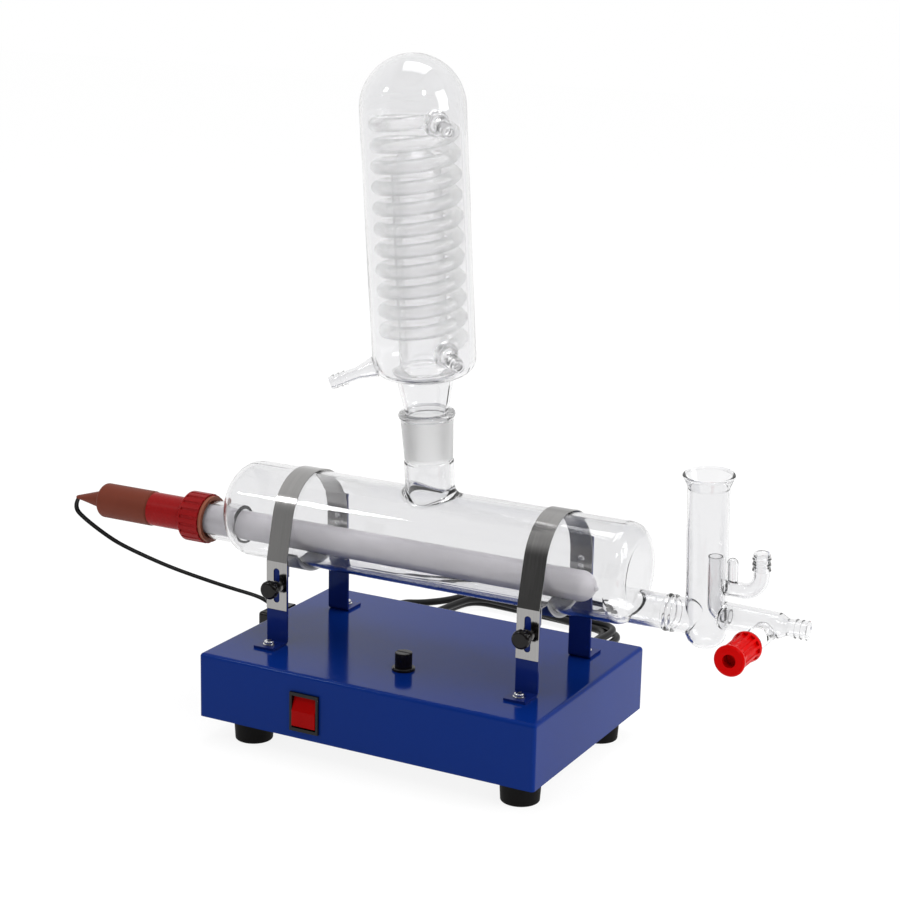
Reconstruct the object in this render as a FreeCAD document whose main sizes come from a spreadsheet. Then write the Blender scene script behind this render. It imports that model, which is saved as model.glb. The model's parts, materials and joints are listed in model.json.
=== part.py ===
import FreeCAD, Part
import math
import os
import Sketcher

os.makedirs("parts", exist_ok=True)
doc = FreeCAD.newDocument("GlassWaterDistiller")
sheet = doc.addObject("Spreadsheet::Sheet", "Sizes")
Vector = FreeCAD.Vector
Rotation = FreeCAD.Rotation
Placement = FreeCAD.Placement
X_AXIS = Vector(1, 0, 0)
Y_AXIS = Vector(0, 1, 0)
Z_AXIS = Vector(0, 0, 1)
ORIGIN = Vector(0, 0, 0)


class Size:
    """A named size, or a sum of named sizes: its number, and the words of its sheet expression."""

    def __init__(self, number, words):
        self.number = number
        self.words = words

    def __add__(self, other):
        return Size(self.number + number(other), f"({self.words} + {words(other)})")

    def __sub__(self, other):
        return Size(self.number - number(other), f"({self.words} - {words(other)})")

    def __mul__(self, other):
        return Size(self.number * number(other), f"({self.words} * {words(other)})")

    def __truediv__(self, other):
        return Size(self.number / number(other), f"({self.words} / {words(other)})")

    def __neg__(self):
        return Size(-self.number, f"(0 - {self.words})")

    __radd__ = __add__
    __rmul__ = __mul__


def number(value):
    return value.number if isinstance(value, Size) else value


def words(value):
    return value.words if isinstance(value, Size) else repr(value)


def size(name, value):
    """Writes one driving dimension to the sheet and hands it back as a Size."""
    size.row += 1
    sheet.set(f"A{size.row}", name)
    sheet.set(f"B{size.row}", repr(value))
    sheet.setAlias(f"B{size.row}", name)
    return Size(value, f"Sizes.{name}")


size.row = 0

# Base case
base_length = size("base_length", 300.0)
base_depth = size("base_depth", 203.0)
base_height = size("base_height", 53.5)
base_bend = size("base_bend", 3.0)
sheet_wall = size("sheet_wall", 1.5)
plate_clearance = size("plate_clearance", 0.5)
lip_depth = size("lip_depth", 40.0)
seat_gap = size("seat_gap", 0.3)
cut_overrun = size("cut_overrun", 2.0)
edge_tolerance = size("edge_tolerance", 0.001)
size_zero = size("size_zero", 0.0)

# Feet
foot_height = size("foot_height", 20.0)
foot_top_radius = size("foot_top_radius", 16.5)
foot_bottom_radius = size("foot_bottom_radius", 15.2)
foot_left_inset = size("foot_left_inset", 36.0)
foot_right_inset = size("foot_right_inset", 23.0)
foot_front_inset = size("foot_front_inset", 25.5)
foot_rear_inset = size("foot_rear_inset", 32.0)
foot_recess_radius = size("foot_recess_radius", 5.5)
foot_recess_depth = size("foot_recess_depth", 9.0)
foot_edge = size("foot_edge", 1.2)
foot_screw_radius = size("foot_screw_radius", 1.95)
foot_screw_head_radius = size("foot_screw_head_radius", 4.0)
foot_screw_head = size("foot_screw_head", 2.6)
foot_screw_tail = size("foot_screw_tail", 5.0)
foot_nut_radius = size("foot_nut_radius", 4.0)
foot_nut_height = size("foot_nut_height", 3.2)
screw_clearance = size("screw_clearance", 0.25)

# Rocker switch
switch_place = size("switch_place", -50.0)
switch_height = size("switch_height", 42.6)
bezel_width = size("bezel_width", 26.0)
bezel_height = size("bezel_height", 32.0)
bezel_depth = size("bezel_depth", 2.2)
switch_case_width = size("switch_case_width", 24.2)
switch_case_height = size("switch_case_height", 29.0)
switch_case_depth = size("switch_case_depth", 24.0)
switch_wall = size("switch_wall", 1.2)
switch_well_depth = size("switch_well_depth", 14.0)
rocker_side_gap = size("rocker_side_gap", 0.3)
rocker_width = size("rocker_width", 21.2)
rocker_half_height = size("rocker_half_height", 12.3)
rocker_nose = size("rocker_nose", 5.0)
rocker_shoulder = size("rocker_shoulder", 2.6)
rocker_back = size("rocker_back", 5.5)
rocker_back_half_height = size("rocker_back_half_height", 10.6)
rocker_tilt = size("rocker_tilt", 12.0)
rocker_pin_radius = size("rocker_pin_radius", 1.5)
rocker_pin_length = size("rocker_pin_length", 0.8)
rocker_pin_clearance = size("rocker_pin_clearance", 0.05)
blade_width = size("blade_width", 6.3)
blade_thickness = size("blade_thickness", 0.8)
blade_length = size("blade_length", 8.0)
blade_spacing = size("blade_spacing", 8.0)

# Fuse holder
fuse_across = size("fuse_across", 8.5)
fuse_along = size("fuse_along", -48.8)
fuse_flange_radius = size("fuse_flange_radius", 9.2)
fuse_flange_height = size("fuse_flange_height", 2.6)
fuse_tube_radius = size("fuse_tube_radius", 6.3)
fuse_tube_depth = size("fuse_tube_depth", 30.0)
fuse_tube_wall = size("fuse_tube_wall", 1.3)
fuse_nut_width = size("fuse_nut_width", 9.0)
fuse_nut_depth = size("fuse_nut_depth", 4.0)
fuse_cap_radius = size("fuse_cap_radius", 6.9)
fuse_cap_height = size("fuse_cap_height", 11.6)
fuse_cap_edge = size("fuse_cap_edge", 0.8)
fuse_stem_radius = size("fuse_stem_radius", 4.6)
fuse_stem_depth = size("fuse_stem_depth", 6.0)
fuse_slot_width = size("fuse_slot_width", 1.6)
fuse_slot_depth = size("fuse_slot_depth", 2.0)
fuse_radius = size("fuse_radius", 2.6)
fuse_length = size("fuse_length", 20.0)
fuse_groove = size("fuse_groove", 0.5)
FUSE_GROOVES = 18

# Heater socket, plug, gland and terminals
socket_along = size("socket_along", 29.6)
socket_height = size("socket_height", 61.6)
socket_flange_radius = size("socket_flange_radius", 10.6)
socket_flange = size("socket_flange", 2.0)
socket_radius = size("socket_radius", 9.6)
socket_depth = size("socket_depth", 22.0)
socket_bore_radius = size("socket_bore_radius", 7.4)
socket_bore_depth = size("socket_bore_depth", 14.0)
plug_length = size("plug_length", 16.0)
plug_width = size("plug_width", 35.8)
plug_height = size("plug_height", 22.0)
plug_edge = size("plug_edge", 3.0)
plug_nose_radius = size("plug_nose_radius", 7.1)
plug_nose_length = size("plug_nose_length", 11.0)
plug_relief_radius = size("plug_relief_radius", 3.2)
plug_relief_length = size("plug_relief_length", 8.0)
plug_relief_inset = size("plug_relief_inset", 8.0)
plug_relief_sink = size("plug_relief_sink", 1.5)
gland_across = size("gland_across", 72.0)
gland_height = size("gland_height", 45.0)
gland_flange_radius = size("gland_flange_radius", 9.5)
gland_flange = size("gland_flange", 5.0)
gland_sleeve_radius = size("gland_sleeve_radius", 6.0)
gland_sleeve = size("gland_sleeve", 18.0)
gland_inside = size("gland_inside", 9.0)
gland_thread_radius = size("gland_thread_radius", 7.5)
terminal_length = size("terminal_length", 46.0)
terminal_depth = size("terminal_depth", 18.0)
terminal_height = size("terminal_height", 16.0)
terminal_across = size("terminal_across", 20.0)
terminal_inset = size("terminal_inset", 59.5)
terminal_hole_radius = size("terminal_hole_radius", 2.6)
terminal_hole_depth = size("terminal_hole_depth", 6.0)
TERMINAL_WAYS = 4

# Brackets, bands and thumb knobs
boiler_height = size("boiler_height", 168.3)
support_shift = size("support_shift", 2.8)
support_spacing = size("support_spacing", 226.0)
strip_width = size("strip_width", 19.0)
bracket_wall = size("bracket_wall", 2.0)
front_bracket_place = size("front_bracket_place", 46.0)
rear_bracket_place = size("rear_bracket_place", 48.0)
front_bracket_drop = size("front_bracket_drop", 28.3)
rear_bracket_rise = size("rear_bracket_rise", 9.7)
bracket_tab = size("bracket_tab", 22.0)
bracket_round = size("bracket_round", 4.0)
bracket_screw_inset = size("bracket_screw_inset", 8.0)
bracket_screw_radius = size("bracket_screw_radius", 2.0)
bracket_screw_length = size("bracket_screw_length", 10.0)
bracket_screw_head_radius = size("bracket_screw_head_radius", 3.9)
bracket_screw_head = size("bracket_screw_head", 2.6)
washer_radius = size("washer_radius", 4.8)
washer_thickness = size("washer_thickness", 0.9)
screw_slot_width = size("screw_slot_width", 1.0)
screw_slot_depth = size("screw_slot_depth", 1.3)
band_wall = size("band_wall", 0.8)
band_radius = size("band_radius", 40.3)
band_front_drop = size("band_front_drop", 66.3)
band_rear_drop = size("band_rear_drop", 21.3)
band_sine_share = size("band_sine_share", 0.24192190)
band_cosine_share = size("band_cosine_share", 0.97029573)
band_slot_width = size("band_slot_width", 5.6)
band_slot_low_drop = size("band_slot_low_drop", 60.3)
band_slot_high_drop = size("band_slot_high_drop", 31.3)
rivet_low_drop = size("rivet_low_drop", 17.3)
rivet_high_drop = size("rivet_high_drop", 10.3)
rivet_radius = size("rivet_radius", 1.5)
rivet_head_radius = size("rivet_head_radius", 2.7)
rivet_head = size("rivet_head", 0.9)
stud_drop = size("stud_drop", 46.8)
stud_radius = size("stud_radius", 2.45)
stud_head_radius = size("stud_head_radius", 4.4)
stud_head = size("stud_head", 1.6)
stud_reach = size("stud_reach", 11.5)
thread_gap = size("thread_gap", 0.05)
thumb_washer_radius = size("thumb_washer_radius", 5.2)
thumb_washer_thickness = size("thumb_washer_thickness", 1.0)
knob_radius = size("knob_radius", 7.6)
knob_head = size("knob_head", 8.0)
knob_neck_radius = size("knob_neck_radius", 4.6)
knob_neck = size("knob_neck", 4.5)
knob_edge = size("knob_edge", 2.6)
knob_roof = size("knob_roof", 2.0)
KNOB_FLUTES = 12
knob_flute_radius = size("knob_flute_radius", 1.2)
thumb_flute_rise = size("thumb_flute_rise", 0.6)
pad_wall = size("pad_wall", 2.0)
saddle_wall = size("saddle_wall", 1.5)
saddle_sine_share = size("saddle_sine_share", 0.81915204)
saddle_cosine_share = size("saddle_cosine_share", 0.57357644)
saddle_tab = size("saddle_tab", 14.0)

# Boiler glass
glass_roll = size("glass_roll", 4.7)
boiler_radius = size("boiler_radius", 39.9)
boiler_wall = size("boiler_wall", 2.4)
boiler_left = size("boiler_left", -176.8)
boiler_right = size("boiler_right", 185.9)
boiler_left_corner = size("boiler_left_corner", 19.0)
boiler_right_corner = size("boiler_right_corner", 14.0)
heater_drop = size("heater_drop", 17.5)
heater_neck_radius = size("heater_neck_radius", 16.5)
heater_neck_wall = size("heater_neck_wall", 3.0)
heater_neck_end = size("heater_neck_end", -222.0)
outlet_drop = size("outlet_drop", 26.0)
outlet_radius = size("outlet_radius", 13.5)
glass_wall = size("glass_wall", 1.8)
outlet_end = size("outlet_end", 211.5)
outlet_bead = size("outlet_bead", 2.2)

# Ground joint and condenser
joint_across = size("joint_across", 3.3)
joint_rim_height = size("joint_rim_height", 104.0)
neck_lean = size("neck_lean", 1.45)
joint_large_radius = size("joint_large_radius", 17.25)
joint_length = size("joint_length", 35.0)
joint_taper_share = size("joint_taper_share", 0.05)
joint_clearance = size("joint_clearance", 0.15)
joint_wall = size("joint_wall", 3.6)
joint_bead_radius = size("joint_bead_radius", 2.6)
joint_bead_place = size("joint_bead_place", 19.9)
neck_blend = size("neck_blend", 7.0)
neck_radius = size("neck_radius", 19.8)
neck_wall = size("neck_wall", 2.6)
jacket_radius = size("jacket_radius", 40.5)
jacket_wall = size("jacket_wall", 2.2)
jacket_bottom = size("jacket_bottom", 32.3)
jacket_corner = size("jacket_corner", 13.0)
jacket_shoulder = size("jacket_shoulder", 240.0)
throat_radius = size("throat_radius", 22.2)
throat_foot_radius = size("throat_foot_radius", 18.0)
throat_lip = size("throat_lip", 2.0)
throat_bend = size("throat_bend", 4.0)
vapour_radius = size("vapour_radius", 19.25)
vapour_wall = size("vapour_wall", 1.6)
vapour_foot_height = size("vapour_foot_height", 8.0)
vapour_shoulder = size("vapour_shoulder", 191.2)
vapour_window_radius = size("vapour_window_radius", 7.0)
vapour_window_height = size("vapour_window_height", 180.0)
spout_azimuth = size("spout_azimuth", -151.0)
spout_height = size("spout_height", 40.2)
spout_droop = size("spout_droop", 18.3)
spout_reach = size("spout_reach", 78.0)
spout_root_radius = size("spout_root_radius", 8.2)
spout_root_length = size("spout_root_length", 14.0)
spout_radius = size("spout_radius", 4.7)
spout_bore_radius = size("spout_bore_radius", 3.2)

# Cooling coil and its ports
coil_radius = size("coil_radius", 28.9)
coil_tube_radius = size("coil_tube_radius", 5.5)
coil_bore_radius = size("coil_bore_radius", 4.1)
coil_low = size("coil_low", 58.7)
coil_rise = size("coil_rise", 175.1)
coil_end_rise = size("coil_end_rise", 0.6)
coil_bend = size("coil_bend", 11.0)
COIL_TURNS = 11
port_azimuth = size("port_azimuth", -39.0)
inlet_droop = size("inlet_droop", 13.0)
outlet_port_droop = size("outlet_port_droop", 9.5)
port_collar_radius = size("port_collar_radius", 10.0)
port_bead_radius = size("port_bead_radius", 2.6)
port_body_radius = size("port_body_radius", 7.6)
port_body_length = size("port_body_length", 9.0)
port_seat_depth = size("port_seat_depth", 9.5)
port_gap = size("port_gap", 0.15)
port_reach = size("port_reach", 20.0)
barb_rise = size("barb_rise", 1.1)
barb_step = size("barb_step", 4.4)
BARBS = 3

# Level controller, overflow and drain
controller_place = size("controller_place", 239.8)
controller_radius = size("controller_radius", 15.8)
controller_top = size("controller_top", 87.0)
controller_bottom = size("controller_bottom", -48.0)
controller_corner = size("controller_corner", 13.0)
mouth_radius = size("mouth_radius", 19.0)
mouth_height = size("mouth_height", 8.0)
mouth_bead_radius = size("mouth_bead_radius", 1.2)
branch_gap = size("branch_gap", 0.3)
weld_gap = size("weld_gap", 0.15)
feed_height = size("feed_height", 2.2)
feed_radius = size("feed_radius", 6.0)
feed_place = size("feed_place", 282.5)
feed_top = size("feed_top", 34.2)
feed_bend = size("feed_bend", 14.0)
feed_bulb_top = size("feed_bulb_top", 26.5)
feed_bulb_radius = size("feed_bulb_radius", 4.2)
overflow_offset = size("overflow_offset", 6.6)
overflow_radius = size("overflow_radius", 5.6)
overflow_wall = size("overflow_wall", 1.2)
overflow_top = size("overflow_top", 26.0)
overflow_bend = size("overflow_bend", 9.0)
overflow_reach = size("overflow_reach", 4.0)
drain_drop = size("drain_drop", 20.5)
drain_root_radius = size("drain_root_radius", 11.0)
drain_mid_radius = size("drain_mid_radius", 9.7)
drain_mid_place = size("drain_mid_place", 298.0)
drain_tail_radius = size("drain_tail_radius", 6.4)
drain_tail_place = size("drain_tail_place", 304.5)
drain_end = size("drain_end", 320.0)

# Drain valve
valve_place = size("valve_place", 289.0)
valve_drop = size("valve_drop", 25.0)
valve_barrel_radius = size("valve_barrel_radius", 8.6)
valve_barrel_wall = size("valve_barrel_wall", 1.6)
valve_barrel_reach = size("valve_barrel_reach", 21.0)
spindle_radius = size("spindle_radius", 6.6)
spindle_tip_radius = size("spindle_tip_radius", 3.4)
spindle_tip = size("spindle_tip", 6.0)
spindle_start = size("spindle_start", 9.5)
spindle_collar_radius = size("spindle_collar_radius", 7.6)
spindle_clearance = size("spindle_clearance", 0.35)
valve_ring_radius = size("valve_ring_radius", 10.6)
valve_ring_width = size("valve_ring_width", 2.4)
valve_knob_start = size("valve_knob_start", 42.0)
valve_knob_length = size("valve_knob_length", 37.0)
valve_knob_radius = size("valve_knob_radius", 11.8)
valve_knob_waist = size("valve_knob_waist", 10.4)
valve_knob_edge = size("valve_knob_edge", 1.2)
valve_knob_hole = size("valve_knob_hole", 5.0)
valve_knob_hole_depth = size("valve_knob_hole_depth", 9.0)
spindle_shaft_radius = size("spindle_shaft_radius", 4.0)
spindle_shaft_length = size("spindle_shaft_length", 16.0)
valve_seat = size("valve_seat", 8.0)
VALVE_FLUTES = 12
valve_flute_radius = size("valve_flute_radius", 1.9)
valve_flute_rise = size("valve_flute_rise", 0.9)
valve_flute_end = size("valve_flute_end", 4.0)

# Heater
sheath_radius = size("sheath_radius", 12.3)
sheath_wall = size("sheath_wall", 1.5)
sheath_left = size("sheath_left", -300.0)
sheath_tip = size("sheath_tip", 149.0)
core_radius = size("core_radius", 10.0)
core_left = size("core_left", -292.0)
core_right = size("core_right", 126.0)
core_groove = size("core_groove", 0.8)
CORE_RINGS = 12
gasket_thickness = size("gasket_thickness", 3.0)
slip_washer_thickness = size("slip_washer_thickness", 1.2)
cap_radius = size("cap_radius", 21.2)
cap_end_wall = size("cap_end_wall", 3.0)
cap_skirt_gap = size("cap_skirt_gap", 0.6)
cap_mouth = size("cap_mouth", -209.0)
CAP_RIDGES = 20
sleeve_radius = size("sleeve_radius", 14.4)
sleeve_left = size("sleeve_left", -266.0)
sleeve_aperture_gap = size("sleeve_aperture_gap", 0.4)
boot_radius = size("boot_radius", 15.0)
boot_left = size("boot_left", -319.0)
boot_edge = size("boot_edge", 3.0)
nose_root_radius = size("nose_root_radius", 8.6)
nose_tip_width = size("nose_tip_width", 3.4)
nose_tip_height = size("nose_tip_height", 2.2)
nose_tip_tilt = size("nose_tip_tilt", 35.0)
nose_drop = size("nose_drop", 1.8)
nose_left = size("nose_left", -347.5)
cap_bevel = size("cap_bevel", 1.5)
cap_groove_radius = size("cap_groove_radius", 1.6)
cap_groove_rise = size("cap_groove_rise", 0.7)
boot_bevel = size("boot_bevel", 1.5)
mouth_ring_rise = size("mouth_ring_rise", 2.5)
sheath_nub_radius = size("sheath_nub_radius", 2.4)

# Cords
cord_radius = size("cord_radius", 3.3)
lead_radius = size("lead_radius", 1.1)
mains_plug_length = size("mains_plug_length", 36.0)
mains_plug_radius = size("mains_plug_radius", 15.0)
mains_plug_pin_radius = size("mains_plug_pin_radius", 2.2)
mains_plug_pin = size("mains_plug_pin", 19.0)
mains_plug_pin_spacing = size("mains_plug_pin_spacing", 19.0)
mains_plug_face = size("mains_plug_face", 12.0)
lead_gap = size("lead_gap", 0.3)
run_share = 0.45
parallel_share = 1e-6

pieces = {}


def bind(feature, name, value):
    """Sets a property, and ties it to the sheet when the value is a named size."""
    if isinstance(value, Size):
        feature.setExpression(name, value.words)
    else:
        setattr(feature, name, value)


def turn_to(direction):
    """The rotation that carries +Z to a direction."""
    return Rotation(Z_AXIS, direction)


def spot(feature, at, along=None):
    """Places a primitive: its base point, tied to the sheet, and the direction of its axis."""
    turn = Rotation() if along is None else turn_to(along)
    base = Vector(*[float(number(v)) for v in at])
    feature.Placement = Placement(base, turn)
    for axis, value in zip("xyz", at):
        if isinstance(value, Size):
            feature.setExpression(f"Placement.Base.{axis}", value.words)
    return feature


def block(label, length, width, height, at):
    feature = doc.addObject("Part::Box", label)
    bind(feature, "Length", length)
    bind(feature, "Width", width)
    bind(feature, "Height", height)
    return spot(feature, at)


def rod(label, radius, length, at, along=None):
    feature = doc.addObject("Part::Cylinder", label)
    bind(feature, "Radius", radius)
    bind(feature, "Height", length)
    return spot(feature, at, along)


def cone(label, first_radius, last_radius, length, at, along=None):
    feature = doc.addObject("Part::Cone", label)
    bind(feature, "Radius1", first_radius)
    bind(feature, "Radius2", last_radius)
    bind(feature, "Height", length)
    return spot(feature, at, along)


def ball(label, radius, at):
    feature = doc.addObject("Part::Sphere", label)
    bind(feature, "Radius", radius)
    return spot(feature, at)


def ring(label, radius, section_radius, at, along=None):
    feature = doc.addObject("Part::Torus", label)
    bind(feature, "Radius1", radius)
    bind(feature, "Radius2", section_radius)
    return spot(feature, at, along)


def hexagon(label, radius, length, at, along=None):
    feature = doc.addObject("Part::Prism", label)
    feature.Polygon = 6
    bind(feature, "Circumradius", radius)
    bind(feature, "Height", length)
    return spot(feature, at, along)


def joined(label, *features):
    if len(features) == 1:
        return features[0]
    feature = doc.addObject("Part::MultiFuse", label)
    feature.Shapes = list(features)
    return feature


def carved(label, base, *tools):
    feature = doc.addObject("Part::Cut", label)
    feature.Base = base
    feature.Tool = joined(label + "_tools", *tools)
    return feature


def grouped(label, features):
    feature = doc.addObject("Part::Compound", label)
    feature.Links = list(features)
    return feature


def from_shape(label, shape):
    feature = doc.addObject("Part::Feature", label)
    feature.Shape = shape
    return feature


def node(name, feature, frame=None):
    """Names a finished piece and sets it in its frame."""
    feature.Label = name
    if frame is not None:
        feature.Placement = frame.multiply(feature.Placement)
    pieces[name] = feature
    return feature


def origin_plane(body, role):
    return [plane for plane in body.Origin.OriginFeatures if plane.Role == role][0]


def pinned(sketch, geometry, point, first, second):
    """Ties one point of a sketch to named sizes; a plain zero puts it on the axis."""
    for kind, value, axis in (("DistanceX", first, -2), ("DistanceY", second, -1)):
        if value is None:
            continue
        if isinstance(value, Size):
            rule = Sketcher.Constraint(kind, -1, 1, geometry, point, value.number)
            index = sketch.addConstraint(rule)
            sketch.setExpression(f"Constraints[{index}]", value.words)
        else:
            sketch.addConstraint(Sketcher.Constraint("PointOnObject", geometry, point, axis))


def outlined(sketch, steps):
    """Draws a closed outline. A step is (u, v), or (u, v, centre u, centre v, way) for an arc to it."""
    drawn = []
    for index, step in enumerate(steps):
        before = steps[index - 1]
        start = Vector(number(before[0]), number(before[1]), 0)
        end = Vector(number(step[0]), number(step[1]), 0)
        if len(step) == 2:
            drawn.append((sketch.addGeometry(Part.LineSegment(start, end)), 1, 2, step))
            continue
        centre = Vector(number(step[2]), number(step[3]), 0)
        first = math.atan2(start.y - centre.y, start.x - centre.x)
        last = math.atan2(end.y - centre.y, end.x - centre.x)
        if step[4] < 0:
            first, last = last, first
        if last <= first:
            last += 2 * math.pi
        circle = Part.Circle(centre, Z_AXIS, (start - centre).Length)
        arc = sketch.addGeometry(Part.ArcOfCircle(circle, first, last))
        ends = (1, 2) if step[4] > 0 else (2, 1)
        drawn.append((arc, ends[0], ends[1], step))
    for index, (geometry, head, tail, step) in enumerate(drawn):
        following = drawn[(index + 1) % len(drawn)]
        sketch.addConstraint(
            Sketcher.Constraint("Coincident", geometry, tail, following[0], following[1])
        )
        if len(step) == 2:
            pinned(sketch, geometry, tail, step[0], step[1])
            continue
        pinned(sketch, geometry, 3, step[2], step[3])
        across = abs(number(step[1]) - number(step[3])) >= abs(number(step[0]) - number(step[2]))
        pinned(sketch, geometry, tail, step[0] if across else None, None if across else step[1])


def sketched(body, role, steps):
    sketch = body.newObject("Sketcher::SketchObject", body.Name + "_outline")
    sketch.AttachmentSupport = [(origin_plane(body, role), "")]
    sketch.MapMode = "FlatFace"
    outlined(sketch, steps)
    return sketch


def turned(label, steps, axis="V_Axis"):
    """A body turned from an outline on the XZ plane, about its Z axis or, with H_Axis, its X axis."""
    body = doc.addObject("PartDesign::Body", label)
    sketch = sketched(body, "XZ_Plane", steps)
    feature = body.newObject("PartDesign::Revolution", label + "_turn")
    feature.Profile = sketch
    feature.ReferenceAxis = (sketch, [axis])
    feature.Angle = 360
    return body


def padded(label, role, steps, length):
    """A body padded from an outline, half the length to each side of its plane."""
    body = doc.addObject("PartDesign::Body", label)
    sketch = sketched(body, role, steps)
    feature = body.newObject("PartDesign::Pad", label + "_pad")
    feature.Profile = sketch
    bind(feature, "Length", length)
    feature.Midplane = True
    return body


def rectangle(half_width, half_depth):
    return [
        (half_width, half_depth),
        (-half_width, half_depth),
        (-half_width, -half_depth),
        (half_width, -half_depth),
    ]


def edge_names(shape, wanted):
    return [f"Edge{i + 1}" for i, edge in enumerate(shape.Edges) if wanted(edge)]


def filleted(body, radius, wanted):
    """Rounds the edges of a body that pass the test."""
    doc.recompute()
    tip = body.Tip
    feature = body.newObject("PartDesign::Fillet", body.Name + "_round")
    feature.Base = (tip, edge_names(tip.Shape, wanted))
    bind(feature, "Radius", radius)
    return body


def chamfered(body, width, wanted):
    doc.recompute()
    tip = body.Tip
    feature = body.newObject("PartDesign::Chamfer", body.Name + "_bevel")
    feature.Base = (tip, edge_names(tip.Shape, wanted))
    bind(feature, "Size", width)
    return body


def circle_at(height, radius):
    """A test for a round edge at a height, of a radius."""
    def wanted(edge):
        curve = edge.Curve
        if curve.TypeId != "Part::GeomCircle":
            return False
        near = math.isclose(curve.Center.z, number(height), abs_tol=number(edge_tolerance))
        return near and math.isclose(curve.Radius, number(radius), abs_tol=number(edge_tolerance))
    return wanted


# Frames: the glass set is rolled about the boiler's axis, and its neck leans a little to the left
GLASS = Placement(Vector(0, 0, boiler_height.number), Rotation(X_AXIS, glass_roll.number))
JOINT = Placement(
    Vector(joint_across.number, 0, joint_rim_height.number), Rotation(Y_AXIS, -neck_lean.number)
)
CONDENSER = GLASS.multiply(JOINT)

base_top = foot_height + base_height
front_face = -(base_depth / 2)
rear_face = base_depth / 2
left_face = -(base_length / 2)
right_face = base_length / 2
inner_front = front_face + sheet_wall
inner_rear = rear_face - sheet_wall
front_bracket_top = boiler_height - front_bracket_drop
rear_bracket_top = boiler_height + rear_bracket_rise
band_front_end = boiler_height - band_front_drop
band_rear_end = boiler_height - band_rear_drop
band_slot_low = boiler_height - band_slot_low_drop
band_slot_high = boiler_height - band_slot_high_drop
rivet_low = boiler_height - rivet_low_drop
rivet_high = boiler_height - rivet_high_drop
stud_height = boiler_height - stud_drop


# Base case
def base_case():
    """A pressed steel case: bent edges, open below, with lips for the bottom plate."""
    body = doc.addObject("PartDesign::Body", "case_shell")
    sketch = sketched(body, "XY_Plane", rectangle(base_length / 2, base_depth / 2))
    bind(sketch, "AttachmentOffset.Base.z", foot_height)
    pad = body.newObject("PartDesign::Pad", "case_pad")
    pad.Profile = sketch
    bind(pad, "Length", base_height)
    filleted(body, base_bend, lambda edge: edge.BoundBox.ZMax > foot_height.number + edge_tolerance.number)
    doc.recompute()
    tip = body.Tip
    faces = [
        f"Face{i + 1}"
        for i, face in enumerate(tip.Shape.Faces)
        if face.BoundBox.ZMax < foot_height.number + edge_tolerance.number
    ]
    shell = body.newObject("PartDesign::Thickness", "case_thickness")
    shell.Base = (tip, faces)
    bind(shell, "Value", sheet_wall)
    shell.Reversed = True
    shell.Join = 0
    return body


def bracket_places():
    """The four bracket places: name, place across, side (-1 front, 1 rear), plate place, top."""
    places = []
    for side_name, side in (("left", -1), ("right", 1)):
        across = support_shift + side * support_spacing / 2
        places.append((f"front_{side_name}_bracket", across, -1, front_bracket_place, front_bracket_top))
        places.append((f"rear_{side_name}_bracket", across, 1, rear_bracket_place, rear_bracket_top))
    return places


def bracket_screw_place(side, place):
    return side * (place + bracket_tab - bracket_screw_inset)


def foot_places():
    """The four feet: name, place across, place along."""
    left = left_face + foot_left_inset
    right = right_face - foot_right_inset
    front = front_face + foot_front_inset
    rear = rear_face - foot_rear_inset
    return [
        ("foot_front_left", left, front),
        ("foot_front_right", right, front),
        ("foot_rear_left", left, rear),
        ("foot_rear_right", right, rear),
    ]


lip_low = foot_height + sheet_wall
lip_length = base_length - 2 * sheet_wall
front_lip = block(
    "front_lip", lip_length, lip_depth, sheet_wall, (left_face + sheet_wall, inner_front, lip_low)
)
rear_lip = block(
    "rear_lip", lip_length, lip_depth, sheet_wall,
    (left_face + sheet_wall, inner_rear - lip_depth, lip_low),
)
foot_hole_radius = foot_screw_radius + screw_clearance
case_holes = [
    block(
        "switch_hole",
        switch_case_width + 2 * screw_clearance,
        sheet_wall + 2 * cut_overrun,
        switch_case_height + 2 * screw_clearance,
        (
            switch_place - switch_case_width / 2 - screw_clearance,
            front_face - cut_overrun,
            switch_height - switch_case_height / 2 - screw_clearance,
        ),
    ),
    rod(
        "fuse_hole", fuse_tube_radius + screw_clearance, sheet_wall + 2 * cut_overrun,
        (fuse_across, fuse_along, base_top - sheet_wall - cut_overrun),
    ),
    rod(
        "socket_hole", socket_radius + screw_clearance, sheet_wall + 2 * cut_overrun,
        (left_face - cut_overrun, socket_along, socket_height), X_AXIS,
    ),
    rod(
        "gland_hole", gland_thread_radius + screw_clearance, sheet_wall + 2 * cut_overrun,
        (gland_across, inner_rear - cut_overrun, gland_height), Y_AXIS,
    ),
]
for name, across, side, place, height in bracket_places():
    case_holes.append(
        rod(
            name + "_hole", bracket_screw_radius + screw_clearance, sheet_wall + 2 * cut_overrun,
            (across, bracket_screw_place(side, place), base_top - sheet_wall - cut_overrun),
        )
    )
for name, across, along in foot_places():
    case_holes.append(
        rod(
            name + "_lip_hole", foot_hole_radius, sheet_wall + 2 * cut_overrun,
            (across, along, lip_low - cut_overrun),
        )
    )
node("base_housing", carved("case_drilled", joined("case_with_lips", base_case(), front_lip, rear_lip), *case_holes))

plate_length = base_length - 2 * sheet_wall - 2 * plate_clearance
plate_depth = base_depth - 2 * sheet_wall - 2 * plate_clearance
plate_blank = block(
    "plate_blank", plate_length, plate_depth, sheet_wall,
    (-(plate_length / 2), -(plate_depth / 2), foot_height),
)
plate_holes = [
    rod(name + "_plate_hole", foot_hole_radius, sheet_wall + 2 * cut_overrun, (across, along, foot_height - cut_overrun))
    for name, across, along in foot_places()
]
node("base_plate", carved("plate_drilled", plate_blank, *plate_holes))

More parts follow.
